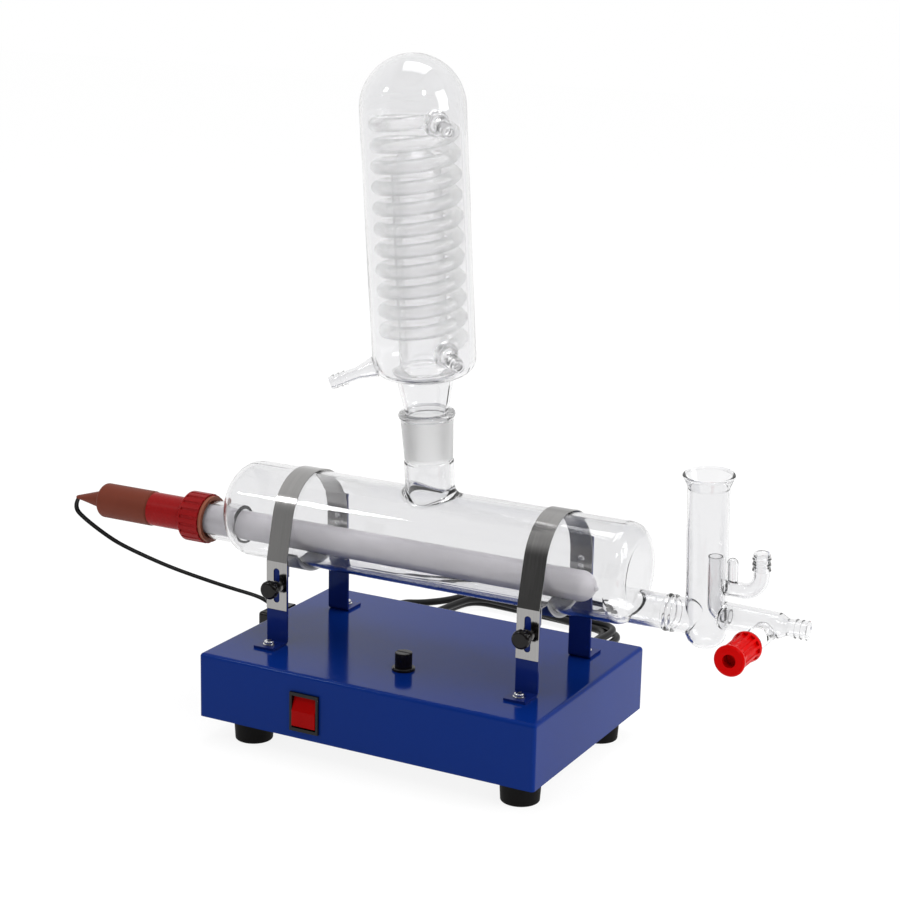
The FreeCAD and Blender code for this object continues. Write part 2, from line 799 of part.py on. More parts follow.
# Rubber feet, their screws and nuts
feet = []
foot_screws = []
foot_nuts = []
for name, across, along in foot_places():
    foot = turned(
        name,
        [
            (foot_hole_radius, foot_recess_depth),
            (foot_recess_radius, foot_recess_depth),
            (foot_recess_radius, 0),
            (foot_bottom_radius, 0),
            (foot_top_radius, foot_height),
            (foot_hole_radius, foot_height),
        ],
    )
    filleted(foot, foot_edge, circle_at(0, foot_bottom_radius))
    feet.append(spot(foot, (across, along, 0)))
    head = rod(
        name + "_screw_head", foot_screw_head_radius, foot_screw_head,
        (across, along, foot_recess_depth - foot_screw_head),
    )
    shank = rod(
        name + "_screw_shank", foot_screw_radius,
        foot_height - foot_recess_depth + 2 * sheet_wall + foot_screw_tail,
        (across, along, foot_recess_depth),
    )
    foot_screws.append(joined(name + "_screw", head, shank))
    nut_low = foot_height + 2 * sheet_wall
    nut = hexagon(name + "_nut_blank", foot_nut_radius, foot_nut_height, (across, along, nut_low))
    nut_bore = rod(
        name + "_nut_bore", foot_screw_radius + thread_gap, foot_nut_height + 2 * cut_overrun,
        (across, along, nut_low - cut_overrun),
    )
    foot_nuts.append(carved(name + "_nut", nut, nut_bore))
node("rubber_feet", grouped("foot_set", feet))
node("foot_screws", grouped("foot_screw_set", foot_screws))
node("foot_nuts", grouped("foot_nut_set", foot_nuts))

# Rocker switch
bezel_front = front_face - bezel_depth
well_width = rocker_width + 2 * rocker_side_gap
well_height = switch_case_height - 2 * switch_wall
bezel = block(
    "bezel_blank", bezel_width, bezel_depth, bezel_height,
    (switch_place - bezel_width / 2, bezel_front, switch_height - bezel_height / 2),
)
switch_case = block(
    "switch_case", switch_case_width, switch_case_depth, switch_case_height,
    (switch_place - switch_case_width / 2, front_face, switch_height - switch_case_height / 2),
)
switch_well = block(
    "switch_well", well_width, switch_well_depth + bezel_depth + cut_overrun, well_height,
    (switch_place - well_width / 2, bezel_front - cut_overrun, switch_height - well_height / 2),
)
pivot_depth = front_face + bezel_depth
pin_bore = rod(
    "pin_bore", rocker_pin_radius + rocker_pin_clearance,
    rocker_width + 2 * rocker_pin_length + 2 * rocker_side_gap,
    (
        switch_place - rocker_width / 2 - rocker_pin_length - rocker_side_gap,
        pivot_depth,
        switch_height,
    ),
    X_AXIS,
)
blades = [
    block(
        f"switch_blade_{row}_{column}", blade_thickness, blade_length, blade_width,
        (
            switch_place + (column - 0.5) * blade_spacing - blade_thickness / 2,
            front_face + switch_case_depth,
            switch_height + (row - 0.5) * blade_spacing - blade_width / 2,
        ),
    )
    for row in (0, 1)
    for column in (0, 1)
]
node(
    "switch_body",
    carved("switch_hollowed", joined("switch_blank", bezel, switch_case, *blades), switch_well, pin_bore),
)

# The rocker's side outline is drawn about its pivot: u along Y, v up
rocker_outline = [
    (-rocker_nose, 0),
    (-rocker_shoulder, -rocker_half_height),
    (rocker_back, -rocker_back_half_height),
    (rocker_back, rocker_back_half_height),
    (-rocker_shoulder, rocker_half_height),
]
rocker = padded("rocker_key", "YZ_Plane", rocker_outline, rocker_width)
rocker_pins = rod(
    "rocker_pins", rocker_pin_radius, rocker_width + 2 * rocker_pin_length,
    (-(rocker_width / 2 + rocker_pin_length), 0, 0), X_AXIS,
)
rocker_piece = joined("rocker_with_pins", rocker, rocker_pins)
rocker_frame = Placement(
    Vector(switch_place.number, pivot_depth.number, switch_height.number),
    Rotation(X_AXIS, -rocker_tilt.number),
)
node("switch_rocker", rocker_piece, rocker_frame)

# Fuse holder, its nut, the fuse and the cap
fuse_top = base_top + fuse_flange_height
fuse_floor = base_top - fuse_tube_depth
fuse_bore = fuse_tube_radius - fuse_tube_wall
holder = turned(
    "fuse_holder_blank",
    [
        (0, fuse_floor),
        (fuse_tube_radius, fuse_floor),
        (fuse_tube_radius, base_top),
        (fuse_flange_radius, base_top),
        (fuse_flange_radius, fuse_top),
        (fuse_bore, fuse_top),
        (fuse_bore, fuse_floor + fuse_tube_wall),
        (0, fuse_floor + fuse_tube_wall),
    ],
)
chamfered(holder, fuse_cap_edge, circle_at(fuse_top, fuse_flange_radius))
node("fuse_holder", spot(holder, (fuse_across, fuse_along, 0)))
fuse_nut_top = base_top - sheet_wall
fuse_nut = carved(
    "fuse_nut_bored",
    hexagon("fuse_nut_blank", fuse_nut_width, fuse_nut_depth, (fuse_across, fuse_along, fuse_nut_top - fuse_nut_depth)),
    rod(
        "fuse_nut_bore", fuse_tube_radius + thread_gap, fuse_nut_depth + 2 * cut_overrun,
        (fuse_across, fuse_along, fuse_nut_top - fuse_nut_depth - cut_overrun),
    ),
)
node("fuse_nut", fuse_nut)
cap_low = fuse_top + seat_gap
stem_low = cap_low - fuse_stem_depth
cap_high = cap_low + fuse_cap_height
fuse_cap = turned(
    "fuse_cap_blank",
    [
        (0, stem_low),
        (fuse_stem_radius, stem_low),
        (fuse_stem_radius, cap_low),
        (fuse_cap_radius, cap_low),
        (fuse_cap_radius, cap_high),
        (0, cap_high),
    ],
)
filleted(fuse_cap, fuse_cap_edge, circle_at(cap_high, fuse_cap_radius))
spot(fuse_cap, (fuse_across, fuse_along, 0))
cap_slot = block(
    "fuse_cap_slot", 2 * fuse_cap_radius, fuse_slot_width, fuse_slot_depth + cut_overrun,
    (fuse_across - fuse_cap_radius, fuse_along - fuse_slot_width / 2, cap_high - fuse_slot_depth),
)
cap_grooves = [
    rod(
        f"fuse_cap_groove_{i}", fuse_groove, fuse_cap_height,
        (
            fuse_across + math.cos(2 * math.pi * i / FUSE_GROOVES) * fuse_cap_radius,
            fuse_along + math.sin(2 * math.pi * i / FUSE_GROOVES) * fuse_cap_radius,
            cap_low + fuse_flange_height,
        ),
    )
    for i in range(FUSE_GROOVES)
]
node("fuse_cap", carved("fuse_cap_cut", fuse_cap, cap_slot, *cap_grooves))
node(
    "fuse_cartridge",
    rod("fuse_link", fuse_radius, fuse_length, (fuse_across, fuse_along, stem_low - seat_gap - fuse_length)),
)

# Heater socket in the left wall, and the plug in it
socket = turned(
    "socket_blank",
    [
        (socket_bore_radius, 0),
        (socket_flange_radius, 0),
        (socket_flange_radius, socket_flange),
        (socket_radius, socket_flange),
        (socket_radius, socket_flange + socket_depth),
        (0, socket_flange + socket_depth),
        (0, socket_flange + socket_bore_depth),
        (socket_bore_radius, socket_flange + socket_bore_depth),
    ],
)
node("heater_socket", spot(socket, (left_face - socket_flange, socket_along, socket_height), X_AXIS))
plug_face = left_face - socket_flange
plug_end = plug_face - plug_length
plug_top = socket_height + plug_height / 2
plug_box = padded("heater_plug_box", "YZ_Plane", rectangle(plug_width / 2, plug_height / 2), plug_length)
filleted(
    plug_box, plug_edge,
    lambda edge: edge.BoundBox.XMin < plug_length.number / 2 - edge_tolerance.number,
)
spot(plug_box, (plug_end + plug_length / 2, socket_along, socket_height))
plug_nose = rod(
    "heater_plug_nose", plug_nose_radius, plug_nose_length, (plug_face, socket_along, socket_height), X_AXIS
)
relief_way = Vector(-2, 0, 1).normalize()
relief_base = (plug_end + plug_relief_inset, socket_along, plug_top - plug_relief_sink)
plug_relief = rod("heater_plug_relief", plug_relief_radius, plug_relief_length, relief_base, relief_way)
node("heater_plug", joined("heater_plug_whole", plug_box, plug_nose, plug_relief))

# Cord gland in the rear wall: the cord runs through its bore
gland = turned(
    "gland_blank",
    [
        (cord_radius, -(gland_inside + sheet_wall)),
        (gland_thread_radius, -(gland_inside + sheet_wall)),
        (gland_thread_radius, 0),
        (gland_flange_radius, 0),
        (gland_flange_radius, gland_flange),
        (gland_sleeve_radius, gland_flange),
        (gland_sleeve_radius - sheet_wall, gland_flange + gland_sleeve),
        (cord_radius, gland_flange + gland_sleeve),
    ],
)
node("cord_gland", spot(gland, (gland_across, rear_face, gland_height), Y_AXIS))

# Terminal block on the bottom plate, with one pair of wire holes for each way
terminal_low = foot_height + sheet_wall
terminal_along = rear_face - terminal_inset
terminal = block(
    "terminal_blank", terminal_length, terminal_depth, terminal_height,
    (terminal_across, terminal_along - terminal_depth / 2, terminal_low),
)
terminal_pitch = terminal_length / TERMINAL_WAYS
terminal_holes = []
for way in range(TERMINAL_WAYS):
    way_place = terminal_across + (way + 0.5) * terminal_pitch
    for side in (-1, 1):
        terminal_holes.append(
            rod(
                f"terminal_wire_hole_{way}_{side}", terminal_hole_radius, terminal_hole_depth + cut_overrun,
                (
                    way_place,
                    terminal_along + side * (terminal_depth / 2 + cut_overrun),
                    terminal_low + terminal_height / 2,
                ),
                -side * Y_AXIS,
            )
        )
node("terminal_block", carved("terminal_drilled", terminal, *terminal_holes))

# Brackets: an upright strip with a tab bent outward along the case top
bracket_screws = []
bracket_washers = []
for name, across, side, place, top in bracket_places():
    tab_high = base_top + bracket_wall
    inner_v = place
    outer_v = place + bracket_wall
    tab_end = place + bracket_tab
    profile = [
        (side * inner_v, top),
        (side * outer_v, top),
        (side * outer_v, tab_high),
        (side * tab_end, tab_high),
        (side * tab_end, base_top),
        (side * (inner_v + bracket_round), base_top),
        (side * inner_v, base_top + bracket_round, side * (inner_v + bracket_round), base_top + bracket_round, -side),
    ]
    bracket = padded(name + "_strip", "YZ_Plane", profile, strip_width)
    spot(bracket, (across, 0, 0))
    screw_along = bracket_screw_place(side, place)
    holes = [
        rod(
            name + "_tab_hole", bracket_screw_radius + screw_clearance, bracket_wall + 2 * cut_overrun,
            (across, screw_along, base_top - cut_overrun),
        )
    ]
    if side < 0:
        holes.append(
            rod(
                name + "_stud_hole", stud_radius + thread_gap, bracket_wall + 2 * cut_overrun,
                (across, side * (inner_v - cut_overrun), stud_height), side * Y_AXIS,
            )
        )
    else:
        for level, rivet_height in (("low", rivet_low), ("high", rivet_high)):
            holes.append(
                rod(
                    f"{name}_{level}_rivet_hole", rivet_radius + thread_gap, bracket_wall + 2 * cut_overrun,
                    (across, side * (inner_v - cut_overrun), rivet_height), side * Y_AXIS,
                )
            )
    node(name, carved(name + "_drilled", bracket, *holes))
    washer = carved(
        name + "_washer",
        rod(name + "_washer_disc", washer_radius, washer_thickness, (across, screw_along, tab_high)),
        rod(
            name + "_washer_hole", bracket_screw_radius + screw_clearance,
            washer_thickness + 2 * cut_overrun, (across, screw_along, tab_high - cut_overrun),
        ),
    )
    bracket_washers.append(washer)
    head_low = tab_high + washer_thickness
    screw_blank = turned(
        name + "_screw_blank",
        [
            (0, -bracket_screw_length),
            (bracket_screw_radius, -bracket_screw_length),
            (bracket_screw_radius, 0),
            (bracket_screw_head_radius, 0),
            (bracket_screw_head_radius, bracket_screw_head),
            (0, bracket_screw_head),
        ],
    )
    filleted(screw_blank, screw_slot_width, circle_at(bracket_screw_head, bracket_screw_head_radius))
    spot(screw_blank, (across, screw_along, head_low))
    slots = [
        block(
            f"{name}_slot_{i}",
            length,
            width,
            screw_slot_depth + cut_overrun,
            (across - length / 2, screw_along - width / 2, head_low + bracket_screw_head - screw_slot_depth),
        )
        for i, (length, width) in enumerate(
            [(bracket_screw_head_radius, screw_slot_width), (screw_slot_width, bracket_screw_head_radius)]
        )
    ]
    bracket_screws.append(carved(name + "_screw", screw_blank, *slots))
node("bracket_screws", grouped("bracket_screw_set", bracket_screws))
node("bracket_washers", grouped("bracket_washer_set", bracket_washers))

# Bands, saddles, pads, studs, washers and thumb knobs, one of each at each side
band_rivets = []
saddle_pads = []
leg_inner = front_bracket_place + bracket_wall
rear_inner = rear_bracket_place - band_wall


def slant_foot(radius, leg):
    """The height where the straight part of a band, tangent to its arc, meets an upright leg."""
    return (
        boiler_height
        + radius * band_sine_share
        - (leg - radius * band_cosine_share) / band_sine_share * band_cosine_share
    )


def band_outline():
    """Up the front leg, over the drum in two arcs of one crown, and down behind the rear bracket."""
    outer = band_radius + band_wall
    crown = boiler_height + band_radius
    bend_height = crown - rear_inner
    rise = boiler_height + band_radius * band_sine_share
    outer_rise = boiler_height + outer * band_sine_share
    return [
        (-leg_inner, band_front_end),
        (-leg_inner, slant_foot(band_radius, leg_inner)),
        (-(band_radius * band_cosine_share), rise),
        (0, crown, 0, boiler_height, -1),
        (rear_inner, bend_height, 0, bend_height, -1),
        (rear_inner, band_rear_end),
        (rear_inner + band_wall, band_rear_end),
        (rear_inner + band_wall, bend_height),
        (0, crown + band_wall, 0, bend_height, 1),
        (-(outer * band_cosine_share), outer_rise, 0, boiler_height, 1),
        (-(leg_inner + band_wall), slant_foot(outer, leg_inner + band_wall)),
        (-(leg_inner + band_wall), band_front_end),
    ]


def saddle_outline():
    inner = boiler_radius + pad_wall
    outer = inner + saddle_wall
    inner_drop = boiler_height - inner * saddle_cosine_share
    outer_drop = boiler_height - outer * saddle_cosine_share
    wing_low = outer_drop
    wing_high = inner_drop
    rear_wall = rear_bracket_place
    return [
        (inner * saddle_sine_share, wing_high, 0, boiler_height, 1),
        (rear_wall, wing_high),
        (rear_wall, wing_high - saddle_tab),
        (rear_wall - saddle_wall, wing_high - saddle_tab),
        (rear_wall - saddle_wall, wing_low),
        (outer * saddle_sine_share, wing_low),
        (-(outer * saddle_sine_share), wing_low, 0, boiler_height, -1),
        (-(front_bracket_place - saddle_wall), wing_low),
        (-(front_bracket_place - saddle_wall), wing_high - saddle_tab),
        (-front_bracket_place, wing_high - saddle_tab),
        (-front_bracket_place, wing_high),
        (-(inner * saddle_sine_share), wing_high),
    ]


def pad_outline():
    outer = boiler_radius + pad_wall
    return [
        (boiler_radius * saddle_sine_share, boiler_height - boiler_radius * saddle_cosine_share, 0, boiler_height, 1),
        (outer * saddle_sine_share, boiler_height - outer * saddle_cosine_share),
        (-(outer * saddle_sine_share), boiler_height - outer * saddle_cosine_share, 0, boiler_height, -1),
        (-(boiler_radius * saddle_sine_share), boiler_height - boiler_radius * saddle_cosine_share),
    ]


for side_name, side in (("left", -1), ("right", 1)):
    across = support_shift + side * support_spacing / 2
    band = padded(f"{side_name}_band_strip", "YZ_Plane", band_outline(), strip_width)
    spot(band, (across, 0, 0))
    slot_half = band_slot_width / 2
    leg_cut_start = -(leg_inner - cut_overrun)
    leg_cut_length = band_wall + 2 * cut_overrun
    leg_cuts = [
        rod(f"{side_name}_slot_low", slot_half, leg_cut_length, (across, leg_cut_start, band_slot_low + slot_half), -Y_AXIS),
        rod(f"{side_name}_slot_high", slot_half, leg_cut_length, (across, leg_cut_start, band_slot_high - slot_half), -Y_AXIS),
        block(
            f"{side_name}_slot_middle", band_slot_width, leg_cut_length,
            band_slot_high - band_slot_low - band_slot_width,
            (across - slot_half, leg_cut_start - leg_cut_length, band_slot_low + slot_half),
        ),
    ]
    for level, rivet_height in (("low", rivet_low), ("high", rivet_high)):
        leg_cuts.append(
            rod(
                f"{side_name}_{level}_band_hole", rivet_radius + thread_gap, leg_cut_length,
                (across, rear_inner - cut_overrun, rivet_height), Y_AXIS,
            )
        )
        rivet_grip = band_wall + bracket_wall
        shank = rod(
            f"{side_name}_{level}_rivet_shank", rivet_radius, rivet_grip, (across, rear_inner, rivet_height), Y_AXIS
        )
        front_head = cone(
            f"{side_name}_{level}_rivet_front", rivet_head_radius, rivet_radius, rivet_head,
            (across, rear_inner, rivet_height), -Y_AXIS,
        )
        rear_head = cone(
            f"{side_name}_{level}_rivet_rear", rivet_head_radius, rivet_radius, rivet_head,
            (across, rear_inner + rivet_grip, rivet_height), Y_AXIS,
        )
        band_rivets.append(joined(f"{side_name}_{level}_rivet", shank, front_head, rear_head))
    node(f"{side_name}_band", carved(f"{side_name}_band_cut", band, *leg_cuts))
    saddle = padded(f"{side_name}_saddle_strip", "YZ_Plane", saddle_outline(), strip_width)
    node(f"{side_name}_saddle", spot(saddle, (across, 0, 0)))
    pad = padded(f"{side_name}_pad_strip", "YZ_Plane", pad_outline(), strip_width)
    saddle_pads.append(spot(pad, (across, 0, 0)))

    stud_shank = rod(
        f"{side_name}_stud_shank", stud_radius, bracket_wall + stud_reach,
        (across, -front_bracket_place, stud_height), -Y_AXIS,
    )
    stud_plate = rod(
        f"{side_name}_stud_head", stud_head_radius, stud_head,
        (across, -(front_bracket_place - stud_head), stud_height), -Y_AXIS,
    )
    node(f"{side_name}_stud", joined(f"{side_name}_stud_whole", stud_shank, stud_plate))
    washer_face = -(leg_inner + band_wall + seat_gap)
    washer_disc = rod(
        f"{side_name}_thumb_washer_disc", thumb_washer_radius, thumb_washer_thickness,
        (across, washer_face, stud_height), -Y_AXIS,
    )
    washer_bore = rod(
        f"{side_name}_thumb_washer_bore", stud_radius + screw_clearance, thumb_washer_thickness + 2 * cut_overrun,
        (across, washer_face + cut_overrun, stud_height), -Y_AXIS,
    )
    node(f"{side_name}_thumb_washer", carved(f"{side_name}_thumb_washer_ring", washer_disc, washer_bore))
    knob_start = washer_face - thumb_washer_thickness - port_gap
    bore_radius = stud_radius + thread_gap
    knob_length = knob_neck + knob_head
    knob = turned(
        f"{side_name}_thumb_knob_blank",
        [
            (bore_radius, 0),
            (knob_neck_radius, 0),
            (knob_neck_radius, knob_neck),
            (knob_radius, knob_neck + knob_edge),
            (knob_radius, knob_length - knob_edge),
            (knob_radius - knob_edge, knob_length, knob_radius - knob_edge, knob_length - knob_edge, 1),
            (0, knob_length),
            (0, knob_length - knob_roof),
            (bore_radius, knob_length - knob_roof),
        ],
    )
    spot(knob, (across, knob_start, stud_height), -Y_AXIS)
    flutes = [
        rod(
            f"{side_name}_knob_flute_{i}", knob_flute_radius, knob_length + cut_overrun,
            (
                across + math.cos(2 * math.pi * i / KNOB_FLUTES) * (knob_radius + thumb_flute_rise),
                knob_start - knob_neck,
                stud_height + math.sin(2 * math.pi * i / KNOB_FLUTES) * (knob_radius + thumb_flute_rise),
            ),
            -Y_AXIS,
        )
        for i in range(KNOB_FLUTES)
    ]
    node(f"{side_name}_thumb_knob", carved(f"{side_name}_thumb_knob_cut", knob, *flutes))
node("band_rivets", grouped("band_rivet_set", band_rivets))
node("saddle_pads", grouped("saddle_pad_set", saddle_pads))


# Boiler glass
def drum_outline(inset):
    """Half the outline of a closed drum with rounded ends, along X."""
    left = boiler_left + inset
    right = boiler_right - inset
    radius = boiler_radius - inset
    left_bend = boiler_left + boiler_left_corner
    right_bend = boiler_right - boiler_right_corner
    left_round = boiler_radius - boiler_left_corner
    right_round = boiler_radius - boiler_right_corner
    return [
        (left, 0),
        (left, left_round),
        (left_bend, radius, left_bend, left_round, -1),
        (right_bend, radius),
        (right, right_round, right_bend, right_round, -1),
        (right, 0),
    ]


def in_joint(feature):
    feature.Placement = JOINT.multiply(feature.Placement)
    return feature


drum = turned("boiler_drum", drum_outline(size_zero), "H_Axis")
drum.Placement = Placement(ORIGIN, Rotation(X_AXIS, 180))
drum_inside = turned("boiler_inside", drum_outline(boiler_wall), "H_Axis")
side_neck_length = boiler_left + boiler_left_corner - heater_neck_end
side_neck = rod(
    "heater_neck", heater_neck_radius, side_neck_length, (heater_neck_end, 0, -heater_drop), X_AXIS
)
side_bore = rod(
    "heater_neck_bore", heater_neck_radius - heater_neck_wall, side_neck_length + cut_overrun,
    (heater_neck_end - cut_overrun, 0, -heater_drop), X_AXIS,
)
outlet_start = boiler_right - boiler_right_corner
outlet = rod("outlet_tube", outlet_radius, outlet_end - outlet_start, (outlet_start, 0, -outlet_drop), X_AXIS)
outlet_ring = ring(
    "outlet_ring", outlet_radius - outlet_bead / 2, outlet_bead, (outlet_end - outlet_bead, 0, -outlet_drop), X_AXIS
)
outlet_bore = rod(
    "outlet_bore", outlet_radius - glass_wall, outlet_end - outlet_start + cut_overrun,
    (outlet_start, 0, -outlet_drop), X_AXIS,
)
ground_low = -(joint_length + glass_wall)
neck_low = -(joint_rim_height - boiler_radius / 2)
neck_top = joint_bead_radius
neck_blank = turned(
    "neck_blank",
    [
        (0, neck_low),
        (neck_radius, neck_low),
        (neck_radius, ground_low - glass_wall),
        (joint_large_radius + joint_wall - joint_length * joint_taper_share, ground_low),
        (joint_large_radius + joint_wall, -joint_bead_radius),
        (joint_bead_place, -joint_bead_radius),
        (joint_bead_place, joint_bead_radius, joint_bead_place, 0, 1),
        (0, neck_top),
    ],
)
neck_bore_radius = neck_radius - neck_wall
neck_bore = turned(
    "neck_bore",
    [
        (0, neck_low),
        (neck_bore_radius, neck_low),
        (neck_bore_radius, ground_low - glass_wall),
        (joint_large_radius - joint_length * joint_taper_share, -joint_length),
        (joint_large_radius + (neck_top + cut_overrun) * joint_taper_share, neck_top + cut_overrun),
        (0, neck_top + cut_overrun),
    ],
)
in_joint(neck_blank)
in_joint(neck_bore)
boiler_blank = joined("boiler_blank", drum, side_neck, outlet, outlet_ring, neck_blank)
boiler_body = doc.addObject("PartDesign::Body", "boiler_blend")
boiler_body.BaseFeature = boiler_blank


def neck_root(edge):
    """A test for the saddle line where the top neck leaves the drum."""
    box = edge.BoundBox
    wide = box.XLength > neck_radius.number and box.YLength > neck_radius.number
    return wide and box.ZLength > cut_overrun.number and box.ZMin > boiler_radius.number / 2


filleted(boiler_body, neck_blend, neck_root)
boiler_glass = carved("boiler_hollowed", boiler_body, drum_inside, side_bore, outlet_bore, neck_bore)
node("boiler_glass", boiler_glass, GLASS)

# Condenser jacket: the male cone, throat, floor, wall and dome in one, with the distillate spout
male_low = -joint_length + glass_wall / 2
male_large = joint_large_radius - joint_clearance
male_top = joint_bead_radius + glass_wall
throat_base = male_top + throat_lip


def jacket_outline(inset, low, high):
    """Half the outline of the jacket, its wall moved in by an inset; the cone is cut at low."""
    return [
        (0, low),
        (male_large + low * joint_taper_share - inset, low),
        (male_large + male_top * joint_taper_share - inset, male_top),
        (throat_foot_radius - inset, throat_base),
        (throat_radius - inset, jacket_bottom - throat_bend),
        (
            throat_radius + throat_bend, jacket_bottom + inset,
            throat_radius + throat_bend, jacket_bottom - throat_bend, -1,
        ),
        (jacket_radius - jacket_corner, jacket_bottom + inset),
        (
            jacket_radius - inset, jacket_bottom + jacket_corner,
            jacket_radius - jacket_corner, jacket_bottom + jacket_corner, 1,
        ),
        (jacket_radius - inset, high),
        (0, high + jacket_radius - inset, 0, high, 1),
    ]


jacket_blank = turned("jacket_blank", jacket_outline(size_zero, male_low, jacket_shoulder))
jacket_inside = turned("jacket_inside", jacket_outline(jacket_wall, male_low - cut_overrun, jacket_shoulder))


def around(radius, azimuth, height):
    """A point at a radius, azimuth and height, on named sizes."""
    angle = math.radians(azimuth.number)
    return (math.cos(angle) * radius, math.sin(angle) * radius, height)


def heading(azimuth, droop):
    """The direction outward at an azimuth, dipping by a droop."""
    angle = math.radians(azimuth.number)
    dip = math.radians(droop.number)
    return Vector(math.cos(angle) * math.cos(dip), math.sin(angle) * math.cos(dip), -math.sin(dip))


def barbed(label, at, along, start, length, radius, bore):
    """A hose end from a start along a direction: plain tube, then barbs; returns outside and bore."""
    def along_from(distance):
        return tuple(value + part * distance for value, part in zip(at, along))

    outside = [rod(label + "_tube", radius, length, along_from(start), along)]
    for index in range(BARBS):
        barb_start = start + length - barb_step * (index + 1)
        outside.append(
            cone(f"{label}_barb_{index}", radius + barb_rise, radius, barb_step, along_from(barb_start), along)
        )
    hole = rod(label + "_bore", bore, length + cut_overrun, along_from(start), along)
    return outside, hole


spout_at = around(jacket_radius - jacket_wall, spout_azimuth, spout_height)
spout_along = heading(spout_azimuth, spout_droop)
spout_tube, spout_bore = barbed(
    "spout", spout_at, spout_along, size_zero, spout_reach - jacket_radius, spout_radius, spout_bore_radius
)
spout_root = cone("spout_root", spout_root_radius, spout_radius, spout_root_length, spout_at, spout_along)
spout_root_bore = cone(
    "spout_root_bore", spout_root_radius - glass_wall, spout_bore_radius, spout_root_length, spout_at, spout_along
)
port_low = coil_low
port_high = coil_low + coil_rise
port_holes = [
    rod(
        name + "_jacket_hole", coil_tube_radius + port_gap, jacket_wall + 2 * cut_overrun,
        around(jacket_radius - jacket_wall - cut_overrun, port_azimuth, height),
        heading(port_azimuth, size_zero),
    )
    for name, height in (("inlet", port_low), ("outlet", port_high))
]
jacket = carved(
    "jacket_hollowed", joined("jacket_with_spout", jacket_blank, spout_root, *spout_tube),
    jacket_inside, spout_root_bore, spout_bore, *port_holes,
)
node("condenser_jacket", jacket, CONDENSER)


# Vapour tube: stands on the jacket's floor round the throat, domed, with a window near the top
def vapour_outline(inset):
    foot_low = jacket_bottom + jacket_wall
    foot_edge_radius = vapour_radius + vapour_foot_height - vapour_wall
    base = [
        (vapour_radius - inset, foot_low),
        (foot_edge_radius, foot_low),
        (foot_edge_radius, foot_low + vapour_wall),
        (
            vapour_radius, foot_low + vapour_foot_height,
            foot_edge_radius, foot_low + vapour_foot_height, -1,
        ),
    ]
    return base + [
        (vapour_radius, vapour_shoulder),
        (0, vapour_shoulder + vapour_radius, 0, vapour_shoulder, 1),
        (0, vapour_shoulder + vapour_radius - inset),
        (vapour_radius - inset, vapour_shoulder, 0, vapour_shoulder, -1),
    ]


vapour_blank = turned("vapour_blank", vapour_outline(vapour_wall))
window = rod(
    "vapour_window", vapour_window_radius, vapour_radius + cut_overrun, (0, 0, vapour_window_height), Y_AXIS
)
node("vapour_tube", carved("vapour_cut", vapour_blank, window), CONDENSER)


# Cooling coil: a wound tube on curves that meet smoothly at each quarter turn
def biarc(start, start_way, end, end_way):
    """Two arcs from start to end that leave and arrive along the given directions."""
    reach = end - start
    ways = start_way + end_way
    across = reach.dot(ways)
    spare = 4 - ways.dot(ways)
    if spare < parallel_share:
        hop = reach.dot(reach) / (2 * across)
    else:
        hop = (-across + math.sqrt(across * across + reach.dot(reach) * spare)) / spare
    first_corner = start + start_way * hop
    last_corner = end - end_way * hop
    meeting = (first_corner + last_corner) * 0.5
    return [arc_edge(start, first_corner, meeting), arc_edge(meeting, last_corner, end)]


def arc_edge(start, corner, end):
    """The arc from start to end that is tangent to the lines through the corner."""
    middle = (start + end) * 0.5
    rise = (corner - middle).Length
    half = (end - start).Length / 2
    if rise < half * parallel_share:
        return Part.LineSegment(start, end).toShape()
    bow = half * math.tan(math.atan2(rise, half) / 2)
    return Part.Arc(start, middle + (corner - middle) * (bow / rise), end).toShape()


def wound(label, stations, radius):
    """A round tube along stations of point and direction."""
    edges = []
    for (start, start_way), (end, end_way) in zip(stations, stations[1:]):
        edges.extend(biarc(start, start_way, end, end_way))
    path = Part.Wire(edges)
    start, way = stations[0]
    section = Part.Wire(Part.makeCircle(radius, start, way))
    shape = path.makePipeShell([section], True, False)
    return shape, path


def coil_stations():
    azimuth = math.radians(port_azimuth.number)
    bend_centre = coil_radius.number + coil_bend.number
    offset = math.asin(coil_bend.number / bend_centre)
    exit_radius = math.sqrt(bend_centre ** 2 - coil_bend.number ** 2)
    sweep = 2 * math.pi * COIL_TURNS - 2 * offset
    low = coil_low.number + coil_end_rise.number
    high = coil_low.number + coil_rise.number - coil_end_rise.number
    slope = (high - low) / sweep
    outward = Vector(math.cos(azimuth), math.sin(azimuth), 0)
    far = exit_radius + 2 * coil_tube_radius.number
    lift = Vector(0, 0, coil_low.number)
    stations = [(outward * far + lift, -outward), (outward * exit_radius + lift, -outward)]
    steps = 4 * COIL_TURNS
    for step in range(steps + 1):
        angle = azimuth + offset + sweep * step / steps
        place = Vector(math.cos(angle), math.sin(angle), 0) * coil_radius.number
        place.z = low + (high - low) * step / steps
        way = Vector(-math.sin(angle) * coil_radius.number, math.cos(angle) * coil_radius.number, slope)
        stations.append((place, way.normalize()))
    lift = Vector(0, 0, coil_low.number + coil_rise.number)
    stations.append((outward * exit_radius + lift, outward))
    stations.append((outward * far + lift, outward))
    return stations


coil_outside, coil_path = wound("coil_outside", coil_stations(), coil_tube_radius.number)
coil_inside, inner_path = wound("coil_inside", coil_stations(), coil_bore_radius.number)
node("cooling_coil", from_shape("coil_tube", coil_outside.cut(coil_inside)), CONDENSER)
print("coil length", round(coil_path.Length), "volume", round(coil_outside.Volume),
      "section x length", round(coil_path.Length * math.pi * coil_tube_radius.number ** 2))


